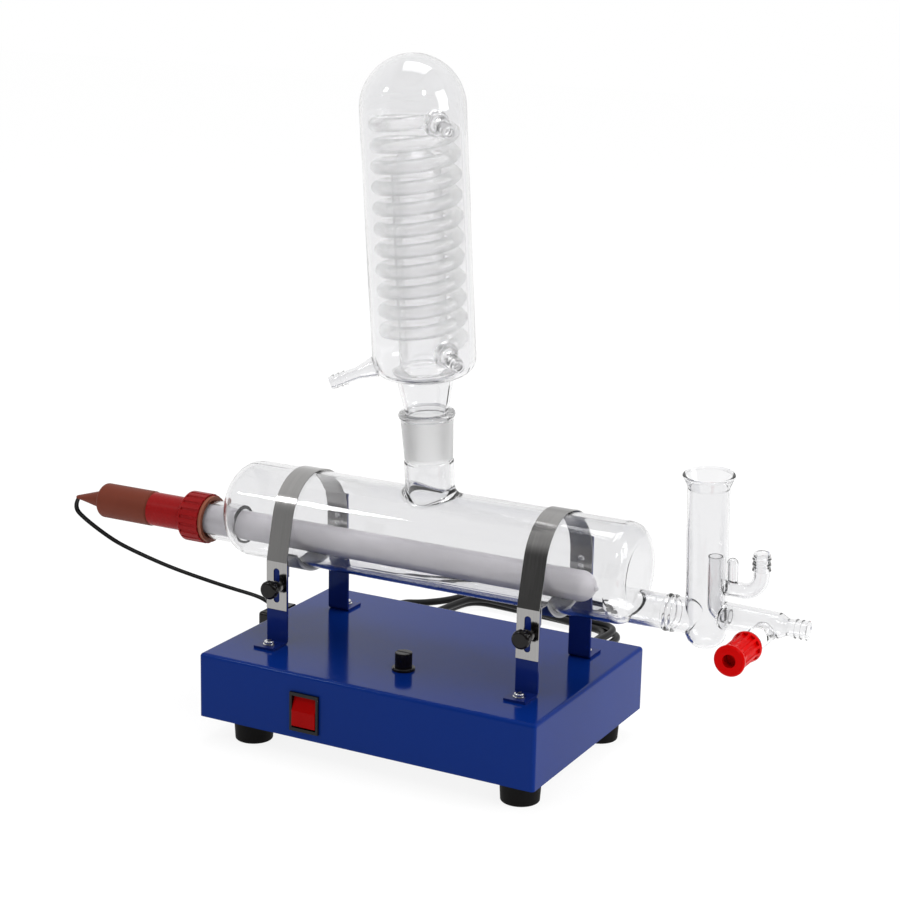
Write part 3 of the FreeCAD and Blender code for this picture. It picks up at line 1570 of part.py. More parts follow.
# Coolant ports: a collar on the jacket round the coil's end, and a drooping hose end
def coolant_port(name, height, droop):
    level = heading(port_azimuth, size_zero)
    collar = rod(
        name + "_collar", port_body_radius, port_body_length,
        around(jacket_radius + port_gap, port_azimuth, height), level,
    )
    bead = ring(
        name + "_bead", port_collar_radius - port_bead_radius, port_bead_radius,
        around(jacket_radius + port_gap + port_bead_radius + glass_wall, port_azimuth, height), level,
    )
    turn_at = around(jacket_radius + port_gap + port_body_length, port_azimuth, height)
    knuckle = ball(name + "_knuckle", port_body_radius, turn_at)
    tube, bore = barbed(
        name, turn_at, heading(port_azimuth, droop), size_zero, port_reach, spout_radius, spout_bore_radius
    )
    coil_seat = rod(
        name + "_coil_seat", coil_tube_radius + port_gap, port_seat_depth + cut_overrun,
        around(jacket_radius - cut_overrun, port_azimuth, height), level,
    )
    link = rod(
        name + "_link", spout_bore_radius, port_body_length, around(jacket_radius + port_gap, port_azimuth, height),
        level,
    )
    wall = rod(name + "_wall", jacket_radius + port_gap, 2 * port_collar_radius, (0, 0, height - port_collar_radius))
    return carved(name + "_cut", joined(name + "_blank", collar, bead, knuckle, *tube), bore, coil_seat, link, wall)


node("coolant_inlet", coolant_port("coolant_inlet", port_low, inlet_droop), CONDENSER)
node("coolant_outlet", coolant_port("coolant_outlet", port_high, outlet_port_droop), CONDENSER)

# Level controller: a flared tube with a round bottom and a side branch to the boiler
def controller_outline(inset, top):
    low = controller_bottom + inset
    return [
        (0, low),
        (controller_radius - controller_corner, low),
        (
            controller_radius - inset, controller_bottom + controller_corner,
            controller_radius - controller_corner, controller_bottom + controller_corner, 1,
        ),
        (controller_radius - inset, controller_top - mouth_height),
        (mouth_radius - inset, controller_top),
        (mouth_radius - inset, top),
        (0, top),
    ]


controller_blank = turned("controller_blank", controller_outline(size_zero, controller_top + glass_wall))
controller_inside = turned(
    "controller_inside", controller_outline(glass_wall, controller_top + glass_wall + cut_overrun)
)
for feature in (controller_blank, controller_inside):
    spot(feature, (controller_place, 0, 0))
branch_start = outlet_end + branch_gap
branch_length = controller_place - branch_start
branch = rod("branch_tube", outlet_radius, branch_length, (branch_start, 0, -outlet_drop), X_AXIS)
branch_ring = ring(
    "branch_ring", outlet_radius - outlet_bead / 2, outlet_bead, (branch_start + outlet_bead, 0, -outlet_drop), X_AXIS
)
branch_bore = rod(
    "branch_bore", outlet_radius - glass_wall, branch_length + cut_overrun,
    (branch_start - cut_overrun, 0, -outlet_drop), X_AXIS,
)
feed_wall = glass_wall - port_gap
feed_hole = rod(
    "feed_hole", feed_radius - feed_wall, controller_radius + cut_overrun, (controller_place, 0, feed_height), X_AXIS
)
mouth_bead = ring(
    "mouth_bead", mouth_radius - mouth_bead_radius / 2, mouth_bead_radius,
    (controller_place, 0, controller_top + glass_wall - mouth_bead_radius / 2),
)


def elbow(label, radius, bend, at, quarter_turn):
    """A quarter of a ring whose centre is at a point, turned to its quarter."""
    feature = ring(label, bend, radius, at)
    feature.Angle3 = 90
    feature.Placement = Placement(feature.Placement.Base, quarter_turn)
    for axis, value in zip("xyz", at):
        if isinstance(value, Size):
            feature.setExpression(f"Placement.Base.{axis}", value.words)
    return feature


overflow_place = controller_place + overflow_offset
elbow_centre_x = overflow_place + overflow_bend
elbow_centre_z = overflow_bend - drain_drop


def lower_left_quarter():
    """From the left of the ring's centre round to below it."""
    return Rotation(X_AXIS, 90).multiply(Rotation(Z_AXIS, 180))


def lower_right_quarter():
    """From below the ring's centre round to its right."""
    return Rotation(X_AXIS, 90).multiply(Rotation(Z_AXIS, -90))


def overflow_run(label, radius, top):
    return [
        rod(label + "_riser", radius, top - elbow_centre_z, (overflow_place, 0, elbow_centre_z)),
        elbow(label + "_elbow", radius, overflow_bend, (elbow_centre_x, 0, elbow_centre_z), lower_left_quarter()),
        rod(label + "_outlet", radius, overflow_reach, (elbow_centre_x, 0, -drain_drop), X_AXIS),
    ]


overflow_clear = overflow_run("overflow_clear", overflow_radius + port_gap, elbow_centre_z + overflow_bend)
controller = carved(
    "controller_hollowed", joined("controller_whole", controller_blank, branch, branch_ring, mouth_bead),
    controller_inside, branch_bore, feed_hole, *overflow_clear,
)
node("level_controller", controller, GLASS)
overflow_outside = overflow_run("overflow_outside", overflow_radius, overflow_top)
overflow_inside = overflow_run(
    "overflow_inside", overflow_radius - overflow_wall, overflow_top + cut_overrun
)
overflow_end = rod(
    "overflow_end_bore", overflow_radius - overflow_wall, overflow_reach + cut_overrun,
    (elbow_centre_x, 0, -drain_drop), X_AXIS,
)
overflow = carved("overflow_hollowed", joined("overflow_whole", *overflow_outside), *overflow_inside, overflow_end)
node("overflow_tube", overflow, GLASS)

# Feed tube: from the controller's wall, with an upright bulb, turning up to a hose end
feed_elbow_x = feed_place - feed_bend
feed_elbow_z = feed_height + feed_bend


def feed_run(label, inset, spare):
    radius = feed_radius - inset
    bulb_radius = feed_bulb_radius - inset
    bulb_shoulder = feed_bulb_top - feed_bulb_radius
    return [
        rod(label + "_level", radius, feed_elbow_x - controller_place, (controller_place, 0, feed_height), X_AXIS),
        elbow(label + "_elbow", radius, feed_bend, (feed_elbow_x, 0, feed_elbow_z), lower_right_quarter()),
        rod(label + "_riser", radius, feed_top - feed_elbow_z + spare, (feed_place, 0, feed_elbow_z)),
        rod(label + "_bulb", bulb_radius, bulb_shoulder - feed_height, (feed_bulb_x, 0, feed_height)),
        ball(label + "_bulb_top", bulb_radius, (feed_bulb_x, 0, bulb_shoulder)),
    ]


feed_bulb_x = controller_place + controller_radius + weld_gap + feed_bulb_radius
feed_outside = feed_run("feed_outside", size_zero, size_zero)
for index in range(BARBS):
    feed_outside.append(
        cone(
            f"feed_barb_{index}", feed_radius + barb_rise, feed_radius, barb_step,
            (feed_place, 0, feed_top - barb_step * (index + 1)),
        )
    )
controller_block = rod(
    "controller_block", controller_radius + weld_gap, feed_top - drain_drop + controller_top,
    (controller_place, 0, -controller_top),
)
feed_tube = carved(
    "feed_hollowed", joined("feed_whole", *feed_outside), *feed_run("feed_inside", feed_wall, cut_overrun),
    controller_block,
)
node("feed_tube", feed_tube, GLASS)

# Drain tube: tapers from the controller's wall to a hose end, with the valve's barrel across it
VALVE = Placement(
    Vector(valve_place.number, 0, boiler_height.number - valve_drop.number), turn_to(-Y_AXIS)
)
VALVE_IN_GLASS = GLASS.inverse().multiply(VALVE)


def drain_outline(inset, spare):
    return [
        (controller_place, 0),
        (controller_place, drain_root_radius - inset),
        (drain_mid_place, drain_mid_radius - inset),
        (drain_tail_place, drain_tail_radius - inset),
        (drain_end + spare, drain_tail_radius - inset),
        (drain_end + spare, 0),
    ]


drain_blank = turned("drain_blank", drain_outline(size_zero, size_zero), "H_Axis")
drain_inside = turned("drain_inside", drain_outline(glass_wall, cut_overrun), "H_Axis")
for feature in (drain_blank, drain_inside):
    spot(feature, (0, 0, -drain_drop))
drain_barbs = [
    cone(
        f"drain_barb_{index}", drain_tail_radius, drain_tail_radius + barb_rise, barb_step,
        (drain_end - barb_step * (index + 1) , 0, -drain_drop), X_AXIS,
    )
    for index in range(BARBS)
]
barrel = rod("valve_barrel", valve_barrel_radius, valve_barrel_reach, (0, 0, 0))
barrel_bore_radius = valve_barrel_radius - valve_barrel_wall
barrel_bore = rod(
    "valve_barrel_bore", barrel_bore_radius, valve_barrel_reach - valve_seat + cut_overrun, (0, 0, valve_seat)
)
seat_bore = rod("valve_seat_bore", spindle_tip_radius, valve_seat + cut_overrun, (0, 0, 0))
barrel_hollow = joined("valve_barrel_hollow", barrel_bore, seat_bore)
for feature in (barrel, barrel_hollow):
    feature.Placement = VALVE_IN_GLASS
drain_block = rod(
    "drain_block", controller_radius + weld_gap, feed_top - drain_drop + controller_top,
    (controller_place, 0, -controller_top),
)
drain_tube = carved(
    "drain_hollowed", joined("drain_whole", drain_blank, barrel, *drain_barbs),
    drain_inside, barrel_hollow, drain_block,
)
node("drain_tube", drain_tube, GLASS)

# Valve: spindle with its collar, grip ring and knob, on the barrel's axis
tip_end = spindle_start + spindle_tip
collar_start = valve_barrel_reach + spindle_clearance
collar_end = valve_knob_start - valve_ring_width - port_gap * 2
spindle = turned(
    "valve_spindle_blank",
    [
        (0, spindle_start),
        (spindle_tip_radius, spindle_start),
        (spindle_radius, tip_end),
        (spindle_radius, collar_start),
        (spindle_collar_radius, collar_start),
        (spindle_collar_radius, collar_end),
        (spindle_shaft_radius, collar_end),
        (spindle_shaft_radius, valve_knob_start + spindle_shaft_length),
        (0, valve_knob_start + spindle_shaft_length),
    ],
)
node("valve_spindle", spindle, VALVE)
grip_ring = turned(
    "valve_ring_blank",
    [
        (spindle_shaft_radius, collar_end),
        (valve_ring_radius, collar_end),
        (valve_ring_radius, collar_end + valve_ring_width),
        (spindle_shaft_radius, collar_end + valve_ring_width),
    ],
)
node("valve_ring", grip_ring, VALVE)
knob_high = valve_knob_start + valve_knob_length
waist_low = valve_knob_start + valve_knob_length / 4
waist_high = knob_high - valve_knob_length / 4
valve_knob = turned(
    "valve_knob_blank",
    [
        (spindle_shaft_radius + thread_gap, valve_knob_start),
        (valve_knob_radius - valve_knob_edge, valve_knob_start),
        (valve_knob_radius, valve_knob_start + valve_knob_edge),
        (valve_knob_waist, waist_low),
        (valve_knob_waist, waist_high),
        (valve_knob_radius, knob_high - valve_knob_edge),
        (valve_knob_radius - valve_knob_edge, knob_high),
        (valve_knob_hole, knob_high),
        (valve_knob_hole, knob_high - valve_knob_hole_depth),
        (0, knob_high - valve_knob_hole_depth),
        (0, valve_knob_start + spindle_shaft_length + seat_gap),
        (spindle_shaft_radius + thread_gap, valve_knob_start + spindle_shaft_length + seat_gap),
    ],
)
knob_flutes = [
    rod(
        f"valve_knob_flute_{i}", valve_flute_radius, valve_knob_length - 2 * valve_flute_end,
        (
            math.cos(2 * math.pi * i / VALVE_FLUTES) * (valve_knob_waist + valve_flute_rise),
            math.sin(2 * math.pi * i / VALVE_FLUTES) * (valve_knob_waist + valve_flute_rise),
            valve_knob_start + valve_flute_end,
        ),
    )
    for i in range(VALVE_FLUTES)
]
node("valve_knob", carved("valve_knob_cut", valve_knob, *knob_flutes), VALVE)

# Heater: glass sheath, ceramic core, gaskets, screw cap, sleeve, boot and its drooping nose
sheath_inner = sheath_radius - sheath_wall


def sheath_outline(radius, left):
    return [
        (left, 0),
        (left, radius),
        (sheath_tip - sheath_radius, radius),
        (sheath_tip - sheath_radius + radius, 0, sheath_tip - sheath_radius, 0, -1),
    ]


sheath_blank = turned("sheath_blank", sheath_outline(sheath_radius, sheath_left), "H_Axis")
sheath_inside = turned("sheath_inside", sheath_outline(sheath_inner, sheath_left - cut_overrun), "H_Axis")
sheath_nub = ball("sheath_nub", sheath_nub_radius, (sheath_tip, 0, 0))
sheath = carved("sheath_hollowed", joined("sheath_whole", sheath_blank, sheath_nub), sheath_inside)
HEATER = GLASS.multiply(Placement(Vector(0, 0, -heater_drop.number), Rotation()))
node("heater_sheath", sheath, HEATER)
core = rod("core_rod", core_radius, core_right - core_left, (core_left, 0, 0), X_AXIS)
core_step = (core_right - core_left) / (CORE_RINGS + 1)
core_rings = [
    ring(f"core_ring_{i}", core_radius, core_groove, (core_left + core_step * (i + 1), 0, 0), X_AXIS)
    for i in range(CORE_RINGS)
]
node("heater_core", carved("core_grooved", core, *core_rings), HEATER)


def collar_piece(label, inner, outer, left, right):
    return turned(label, [(left, inner), (left, outer), (right, outer), (right, inner)], "H_Axis")


gasket_left = heater_neck_end - gasket_thickness
node("heater_gasket", collar_piece("gasket_ring", sheath_radius, heater_neck_radius, gasket_left, heater_neck_end), HEATER)
washer_right = gasket_left - port_gap
washer_left = washer_right - slip_washer_thickness
aperture = sleeve_radius + sleeve_aperture_gap
node("heater_slip_washer", collar_piece("slip_washer_ring", aperture, heater_neck_radius, washer_left, washer_right), HEATER)
cap_inner_left = washer_left - port_gap
cap_left = cap_inner_left - cap_end_wall
cap_bore = heater_neck_radius + cap_skirt_gap
cap_blank = turned(
    "heater_cap_blank",
    [
        (cap_left, aperture),
        (cap_left, cap_radius - cap_bevel),
        (cap_left + cap_bevel, cap_radius),
        (cap_mouth, cap_radius),
        (cap_mouth, cap_bore),
        (cap_inner_left, cap_bore),
        (cap_inner_left, aperture),
    ],
    "H_Axis",
)
cap_grooves = [
    rod(
        f"heater_cap_groove_{i}", cap_groove_radius, cap_mouth - cap_left - 2 * cap_bevel,
        (
            cap_left + 2 * cap_bevel,
            math.cos(2 * math.pi * i / CAP_RIDGES) * (cap_radius + cap_groove_rise),
            math.sin(2 * math.pi * i / CAP_RIDGES) * (cap_radius + cap_groove_rise),
        ),
        X_AXIS,
    )
    for i in range(CAP_RIDGES)
]
node("heater_cap", carved("heater_cap_cut", cap_blank, *cap_grooves), HEATER)
mouth_ring_left = cap_mouth + seat_gap
node(
    "heater_mouth_ring",
    collar_piece(
        "mouth_ring", heater_neck_radius, cap_bore + mouth_ring_rise, mouth_ring_left,
        mouth_ring_left + gasket_thickness,
    ),
    HEATER,
)
node("heater_sleeve", collar_piece("sleeve_tube", sheath_radius, sleeve_radius, sleeve_left, gasket_left), HEATER)
boot_blank = turned(
    "boot_blank",
    [
        (boot_left, 0),
        (boot_left, boot_radius - boot_edge),
        (boot_left + boot_edge, boot_radius, boot_left + boot_edge, boot_radius - boot_edge, -1),
        (sleeve_left - boot_bevel, boot_radius),
        (sleeve_left, boot_radius - boot_bevel),
        (sleeve_left, sheath_radius),
        (sheath_left, sheath_radius),
        (sheath_left, 0),
    ],
    "H_Axis",
)
nose_root = doc.addObject("Part::Circle", "nose_root")
bind(nose_root, "Radius", nose_root_radius)
spot(nose_root, (boot_left, 0, 0), -X_AXIS)
nose_tip = doc.addObject("Part::Ellipse", "nose_tip")
bind(nose_tip, "MajorRadius", nose_tip_width)
bind(nose_tip, "MinorRadius", nose_tip_height)
nose_tilt = Rotation(Y_AXIS, nose_tip_tilt.number - 180)
nose_tip.Placement = Placement(ORIGIN, nose_tilt.multiply(Rotation(Z_AXIS, 90)))
for axis, value in (("x", nose_left), ("z", -nose_drop)):
    nose_tip.setExpression(f"Placement.Base.{axis}", value.words)
nose = doc.addObject("Part::Loft", "nose")
nose.Sections = [nose_root, nose_tip]
nose.Solid = True
nose.Ruled = True
node("heater_boot", joined("boot_whole", boot_blank, nose), HEATER)


# Cords: straight runs joined by tangent arcs
def rounded_route(points):
    """The wire of a route, each inner point rounded on its shorter neighbouring run, and its least radius."""
    knots = [Vector(*point) for point in points]
    edges = []
    radii = []
    last = knots[0]
    for before, knot, after in zip(knots, knots[1:], knots[2:]):
        back = before - knot
        ahead = after - knot
        reach = run_share * min(back.Length, ahead.Length)
        half_turn = (math.pi - back.getAngle(ahead)) / 2
        radius = reach / math.tan(half_turn)
        back.normalize()
        ahead.normalize()
        inward = (back + ahead).normalize()
        start = knot + back * reach
        end = knot + ahead * reach
        middle = knot + inward * (math.hypot(radius, reach) - radius)
        edges.append(Part.LineSegment(last, start).toShape())
        edges.append(Part.Arc(start, middle, end).toShape())
        radii.append(radius)
        last = end
    edges.append(Part.LineSegment(last, knots[-1]).toShape())
    return Part.Wire(edges), min(radii)


def cord_along(label, points, radius):
    """A round cord along a route of points."""
    path, least = rounded_route(points)
    start = Vector(*points[0])
    way = Vector(*points[1]) - start
    section = Part.Wire(Part.makeCircle(radius, start, way))
    shape = path.makePipeShell([section], True, False)
    expected = path.Length * math.pi * radius ** 2
    print(label, "length", round(path.Length, 1), "least radius", round(least, 1),
          "volume", round(shape.Volume), "section x length", round(expected))
    return from_shape(label + "_cord", shape)


# Heater leads: points from the boot's nose to the socket, with heights counted from the boiler's axis
LEAD_ROUTE = [
    (-347.6, 1.6, -19.32),
    (-354.7, 2.4, -29.4),
    (-341.5, 2.5, -39.3),
    (-316.5, 6.0, -53.9),
    (-301.0, 10.0, -61.1),
    (-272.3, 13.0, -69.3),
    (-250.4, 16.0, -74.8),
    (-219.7, 23.0, -82.2),
    (-201.0, 27.5, -86.3),
]
LEAD_LEVEL = (-17.5, 0.0, 5.0)
LEAD_RUN_IN = 6.6
relief_end = Vector(*(number(value) for value in relief_base)) + relief_way * plug_relief_length.number
lead_tail = [relief_end + Vector(*LEAD_LEVEL), relief_end + relief_way * LEAD_RUN_IN, relief_end]
for name, offset in (("heater_lead_a", -1), ("heater_lead_b", 1)):
    spread = offset * (lead_radius.number + lead_gap.number)
    route = [(x, y + spread, z + boiler_height.number) for x, y, z in LEAD_ROUTE]
    route += [(point.x, point.y + spread, point.z) for point in lead_tail]
    node(name, cord_along(name, route, lead_radius.number))

CORD_ROUTE = [
    (72.0, 93.0, 45.0),
    (72.0, 150.0, 45.0),
    (35.7, 189.5, 3.3),
    (43.0, 249.05, 3.3),
]
node("mains_cord", cord_along("mains_cord", CORD_ROUTE, cord_radius.number))

# Mains coil: two and a half rounded loops on the floor, spiralling in, then out on a second layer
COIL_CENTRE = (-48.0, 230.0)
COIL_SWING = -7.0
COIL_HALF = (88.0, 85.0)
COIL_CORNER = 38.0
COIL_INSETS = [0.0, 2.4, 4.8, 7.1, 9.5, 10.0, 8.0, 5.5, 3.0, 0.5]
COIL_START = (88.0, 30.0, 3.3)
COIL_TAIL = (-112.0, -20.0, 15.6)
COIL_HEIGHTS = [3.3, 3.3, 3.3, 3.3, 6.9, 10.5, 10.5, 10.5, 10.5, 10.5]
CORNER_SIGNS = [(1, 1), (-1, 1), (-1, -1), (1, -1)]
CORNER_WAYS = [((0, 1), (-1, 0)), ((-1, 0), (0, -1)), ((0, -1), (1, 0)), ((1, 0), (0, 1))]


def swung(across, along, height):
    """A point of the coil's own frame, on the floor."""
    swing = math.radians(COIL_SWING)
    return Vector(
        COIL_CENTRE[0] + across * math.cos(swing) - along * math.sin(swing),
        COIL_CENTRE[1] + across * math.sin(swing) + along * math.cos(swing),
        height,
    )


def swung_way(across, along):
    swing = math.radians(COIL_SWING)
    return Vector(
        across * math.cos(swing) - along * math.sin(swing),
        across * math.sin(swing) + along * math.cos(swing),
        0,
    )


def mains_stations():
    """Station by station: the start and the end of each corner, from just before the rear right one."""
    stations = [(swung(*COIL_START), swung_way(0, 1))]
    for index, (inset, height) in enumerate(zip(COIL_INSETS, COIL_HEIGHTS)):
        sign_x, sign_y = CORNER_SIGNS[index % 4]
        first_way, last_way = CORNER_WAYS[index % 4]
        wide = COIL_HALF[0] - inset
        deep = COIL_HALF[1] - inset
        ends = [
            (sign_x * wide, sign_y * (deep - COIL_CORNER)),
            (sign_x * (wide - COIL_CORNER), sign_y * deep),
        ]
        if index % 2:
            ends.reverse()
        for (across, along), way in zip(ends, (first_way, last_way)):
            stations.append((swung(across, along, height), swung_way(*way)))
    stations.append((swung(*COIL_TAIL), swung_way(0, -1)))
    return stations


mains_shape, mains_path = wound("mains_coil", mains_stations(), cord_radius.number)
node("mains_coil", from_shape("mains_coil_cord", mains_shape))
print("mains coil length", round(mains_path.Length), "volume", round(mains_shape.Volume),
      "section x length", round(mains_path.Length * math.pi * cord_radius.number ** 2))

# Mains plug at the end of the coil: a moulded body with two round pins
plug_at, plug_way = mains_stations()[-1]
plug_blank = turned(
    "mains_plug_blank",
    [
        (0, 0),
        (cord_radius + plug_edge, 0),
        (gland_flange_radius, mains_plug_length / 2),
        (mains_plug_radius, mains_plug_length - mains_plug_face),
        (mains_plug_radius, mains_plug_length),
        (0, mains_plug_length),
    ],
)
plug_pins = [
    rod(
        f"mains_plug_pin_{side}", mains_plug_pin_radius, mains_plug_pin + mains_plug_face,
        (side * mains_plug_pin_spacing / 2, 0, mains_plug_length - mains_plug_face),
    )
    for side in (-1, 1)
]
node("mains_plug", joined("mains_plug_whole", plug_blank, *plug_pins), Placement(plug_at, turn_to(plug_way)))

doc.recompute()
for feature in doc.Objects:
    for trouble in ("Invalid", "Error"):
        if trouble in feature.State:
            raise RuntimeError(f"{feature.Label}: {feature.State}")
for name, feature in pieces.items():
    shape = feature.Shape
    if shape.isNull() or not shape.isValid():
        raise RuntimeError(f"{name}: no valid shape")
    shape.exportStep(f"parts/{name}.step")
    box = shape.optimalBoundingBox()
    print(f"{name}: {len(shape.Solids)} solids, {shape.Volume:.0f} mm3, "
          f"x {box.XMin:.1f} to {box.XMax:.1f}, y {box.YMin:.1f} to {box.YMax:.1f}, "
          f"z {box.ZMin:.1f} to {box.ZMax:.1f}")
print(len(pieces), "pieces")
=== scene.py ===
import json
import math

import bpy
from mathutils import Matrix, Vector


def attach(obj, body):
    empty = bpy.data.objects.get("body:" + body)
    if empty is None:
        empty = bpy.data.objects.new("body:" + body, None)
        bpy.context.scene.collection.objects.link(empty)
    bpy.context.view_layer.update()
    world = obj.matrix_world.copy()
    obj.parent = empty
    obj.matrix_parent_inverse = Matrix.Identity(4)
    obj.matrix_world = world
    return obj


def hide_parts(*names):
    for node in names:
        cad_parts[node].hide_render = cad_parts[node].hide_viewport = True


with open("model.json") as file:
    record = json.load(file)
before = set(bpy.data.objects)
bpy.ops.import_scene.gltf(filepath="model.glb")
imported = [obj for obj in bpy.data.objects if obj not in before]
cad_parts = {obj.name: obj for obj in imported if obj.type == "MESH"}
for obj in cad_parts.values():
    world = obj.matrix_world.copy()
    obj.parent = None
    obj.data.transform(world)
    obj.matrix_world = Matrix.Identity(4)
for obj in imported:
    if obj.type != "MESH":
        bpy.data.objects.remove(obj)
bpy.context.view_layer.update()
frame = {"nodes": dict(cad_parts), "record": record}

MM = 0.001

# Camera: the photograph's viewpoint
CAMERA_PLACE = (0.775913, -1.428248, 0.658583)
YAW, PITCH, ROLL = 0.486790, 0.251537, -0.021705
FOCAL_PIXELS = 2121.43
IMAGE_PIXELS = 900
SENSOR_WIDTH = 36
FAR_CLIP = 50
forward = Vector((-math.sin(YAW) * math.cos(PITCH), math.cos(YAW) * math.cos(PITCH), -math.sin(PITCH)))
level = Vector((math.cos(YAW), math.sin(YAW), 0))
down = forward.cross(level)
right = level * math.cos(ROLL) + down * math.sin(ROLL)
drop = down * math.cos(ROLL) - level * math.sin(ROLL)
camera_data = bpy.data.cameras.new("Camera")
camera_data.sensor_width = SENSOR_WIDTH
camera_data.sensor_fit = "HORIZONTAL"
camera_data.lens = FOCAL_PIXELS / IMAGE_PIXELS * SENSOR_WIDTH
camera_data.clip_end = FAR_CLIP
camera = bpy.data.objects.new("Camera", camera_data)
bpy.context.scene.collection.objects.link(camera)
turn = Matrix((right, -drop, -forward)).transposed().to_4x4()
camera.matrix_world = Matrix.Translation(CAMERA_PLACE) @ turn
bpy.context.scene.camera = camera

# Cords: the routes' points and sizes, in millimetres
CORD_RADIUS = 3.3
LEAD_RADIUS = 1.1
LEAD_HALF_GAP = 0.3
TUBE_BEVEL = 6
LINE_STEPS = 8
CORD_ROUTE = [
    (72.0, 101.5, 45.0),
    (72.0, 150.0, 45.0),
    (35.7, 189.5, 3.3),
]
COIL_CENTRE = (-48.0, 230.0)
COIL_SWING = math.radians(-7.0)
COIL_HALF = (88.0, 85.0)
COIL_ENTRY = 20.0
COIL_INSETS = [0.0, 2.4, 4.8, 7.1, 9.5, 10.0, 8.0, 5.5, 3.0, 0.5]
COIL_HEIGHTS = [3.3, 3.3, 3.3, 3.3, 6.9, 10.5, 10.5, 10.5, 10.5, 10.5]
CORNER_SIGNS = [(1, 1), (-1, 1), (-1, -1), (1, -1)]
COIL_CUT = 12.0
COIL_SIDE = 34.0
COIL_TAIL = [
    (-100.0, 18.0, 13.0),
    (-112.0, 2.0, 15.6),
    (-112.0, -20.0, 15.6),
]
LEAD_ROUTE = [
    (-347.6, 1.6, 148.98),
    (-354.7, 2.4, 138.9),
    (-341.5, 2.5, 129.0),
    (-316.5, 6.0, 114.4),
    (-301.0, 10.0, 107.2),
    (-272.3, 13.0, 99.0),
    (-250.4, 16.0, 93.5),
    (-219.7, 23.0, 86.1),
    (-201.0, 27.5, 82.0),
    (-184.7, 29.6, 79.7),
    (-173.1, 29.6, 77.6),
    (-167.16, 29.6, 74.68),
]


def swung(across, along, height):
    """A place in the coil's own directions, as a place in the frame."""
    return (
        COIL_CENTRE[0] + across * math.cos(COIL_SWING) - along * math.sin(COIL_SWING),
        COIL_CENTRE[1] + across * math.sin(COIL_SWING) + along * math.cos(COIL_SWING),
        height,
    )


def mains_points():
    """The mains lead's control points: from the gland to the floor, round the coil, and out to the plug."""
    points = list(CORD_ROUTE)
    points.append(swung(COIL_HALF[0], COIL_ENTRY, COIL_HEIGHTS[0]))
    for index, (inset, height) in enumerate(zip(COIL_INSETS, COIL_HEIGHTS)):
        sign_x, sign_y = CORNER_SIGNS[index % len(CORNER_SIGNS)]
        wide = COIL_HALF[0] - inset
        deep = COIL_HALF[1] - inset
        ends = [
            (sign_x * wide, sign_y * (deep - COIL_SIDE)),
            (sign_x * (wide - COIL_CUT / 3), sign_y * (deep - COIL_CUT / 3)),
            (sign_x * (wide - COIL_SIDE), sign_y * deep),
        ]
        if index % 2:
            ends.reverse()
        points.extend(swung(across, along, height) for across, along in ends)
    points.extend(swung(*place) for place in COIL_TAIL)
    return points


def route_mesh(points, radius):
    """The route's smooth line as a mesh: a tube, or the bare line where the radius is zero."""
    data = bpy.data.curves.new("route", "CURVE")
    data.dimensions = "3D"
    data.bevel_depth = radius * MM
    data.bevel_resolution = TUBE_BEVEL
    data.use_fill_caps = True
    spline = data.splines.new("NURBS")
    spline.points.add(len(points) - 1)
    for point, place in zip(spline.points, points):
        point.co = (place[0] * MM, place[1] * MM, place[2] * MM, 1)
    spline.order_u = 3
    spline.use_endpoint_u = True
    spline.resolution_u = LINE_STEPS
    curve = bpy.data.objects.new("route", data)
    bpy.context.scene.collection.objects.link(curve)
    mesh = bpy.data.meshes.new_from_object(curve.evaluated_get(bpy.context.evaluated_depsgraph_get()))
    bpy.data.objects.remove(curve)
    bpy.data.curves.remove(data)
    return mesh


def cord_piece(name, points, radius):
    """A tube along a route, the points that it follows, and its length."""
    mesh = route_mesh(points, radius)
    mesh.name = name
    mesh.shade_smooth()
    piece = bpy.data.objects.new(name, mesh)
    bpy.context.scene.collection.objects.link(piece)
    line = route_mesh(points, 0)
    path = [tuple(vertex.co) for vertex in line.vertices]
    bpy.data.meshes.remove(line)
    return piece, path, sum(math.dist(*pair) for pair in zip(path, path[1:]))


mains_lead, mains_path, mains_length = cord_piece("mains_lead_black", mains_points(), CORD_RADIUS)
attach(mains_lead, "stand")
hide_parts("mains_cord", "mains_coil")
leads = []
for node_name, side in (("heater_lead_a", -1), ("heater_lead_b", 1)):
    route = [(x, y + side * (LEAD_RADIUS + LEAD_HALF_GAP), z) for x, y, z in LEAD_ROUTE]
    lead, lead_path, lead_length = cord_piece(node_name + "_black", route, LEAD_RADIUS)
    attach(lead, "stand")
    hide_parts(node_name)
    leads.append(lead)

# Materials: a mix node's colour sockets share one name, so they go by number
MIX_FIRST = 6
MIX_SECOND = 7
MIX_RESULT = 2
NOISE_RANGE = (0.3, 0.7)
FINE_RELIEF = 0.0001


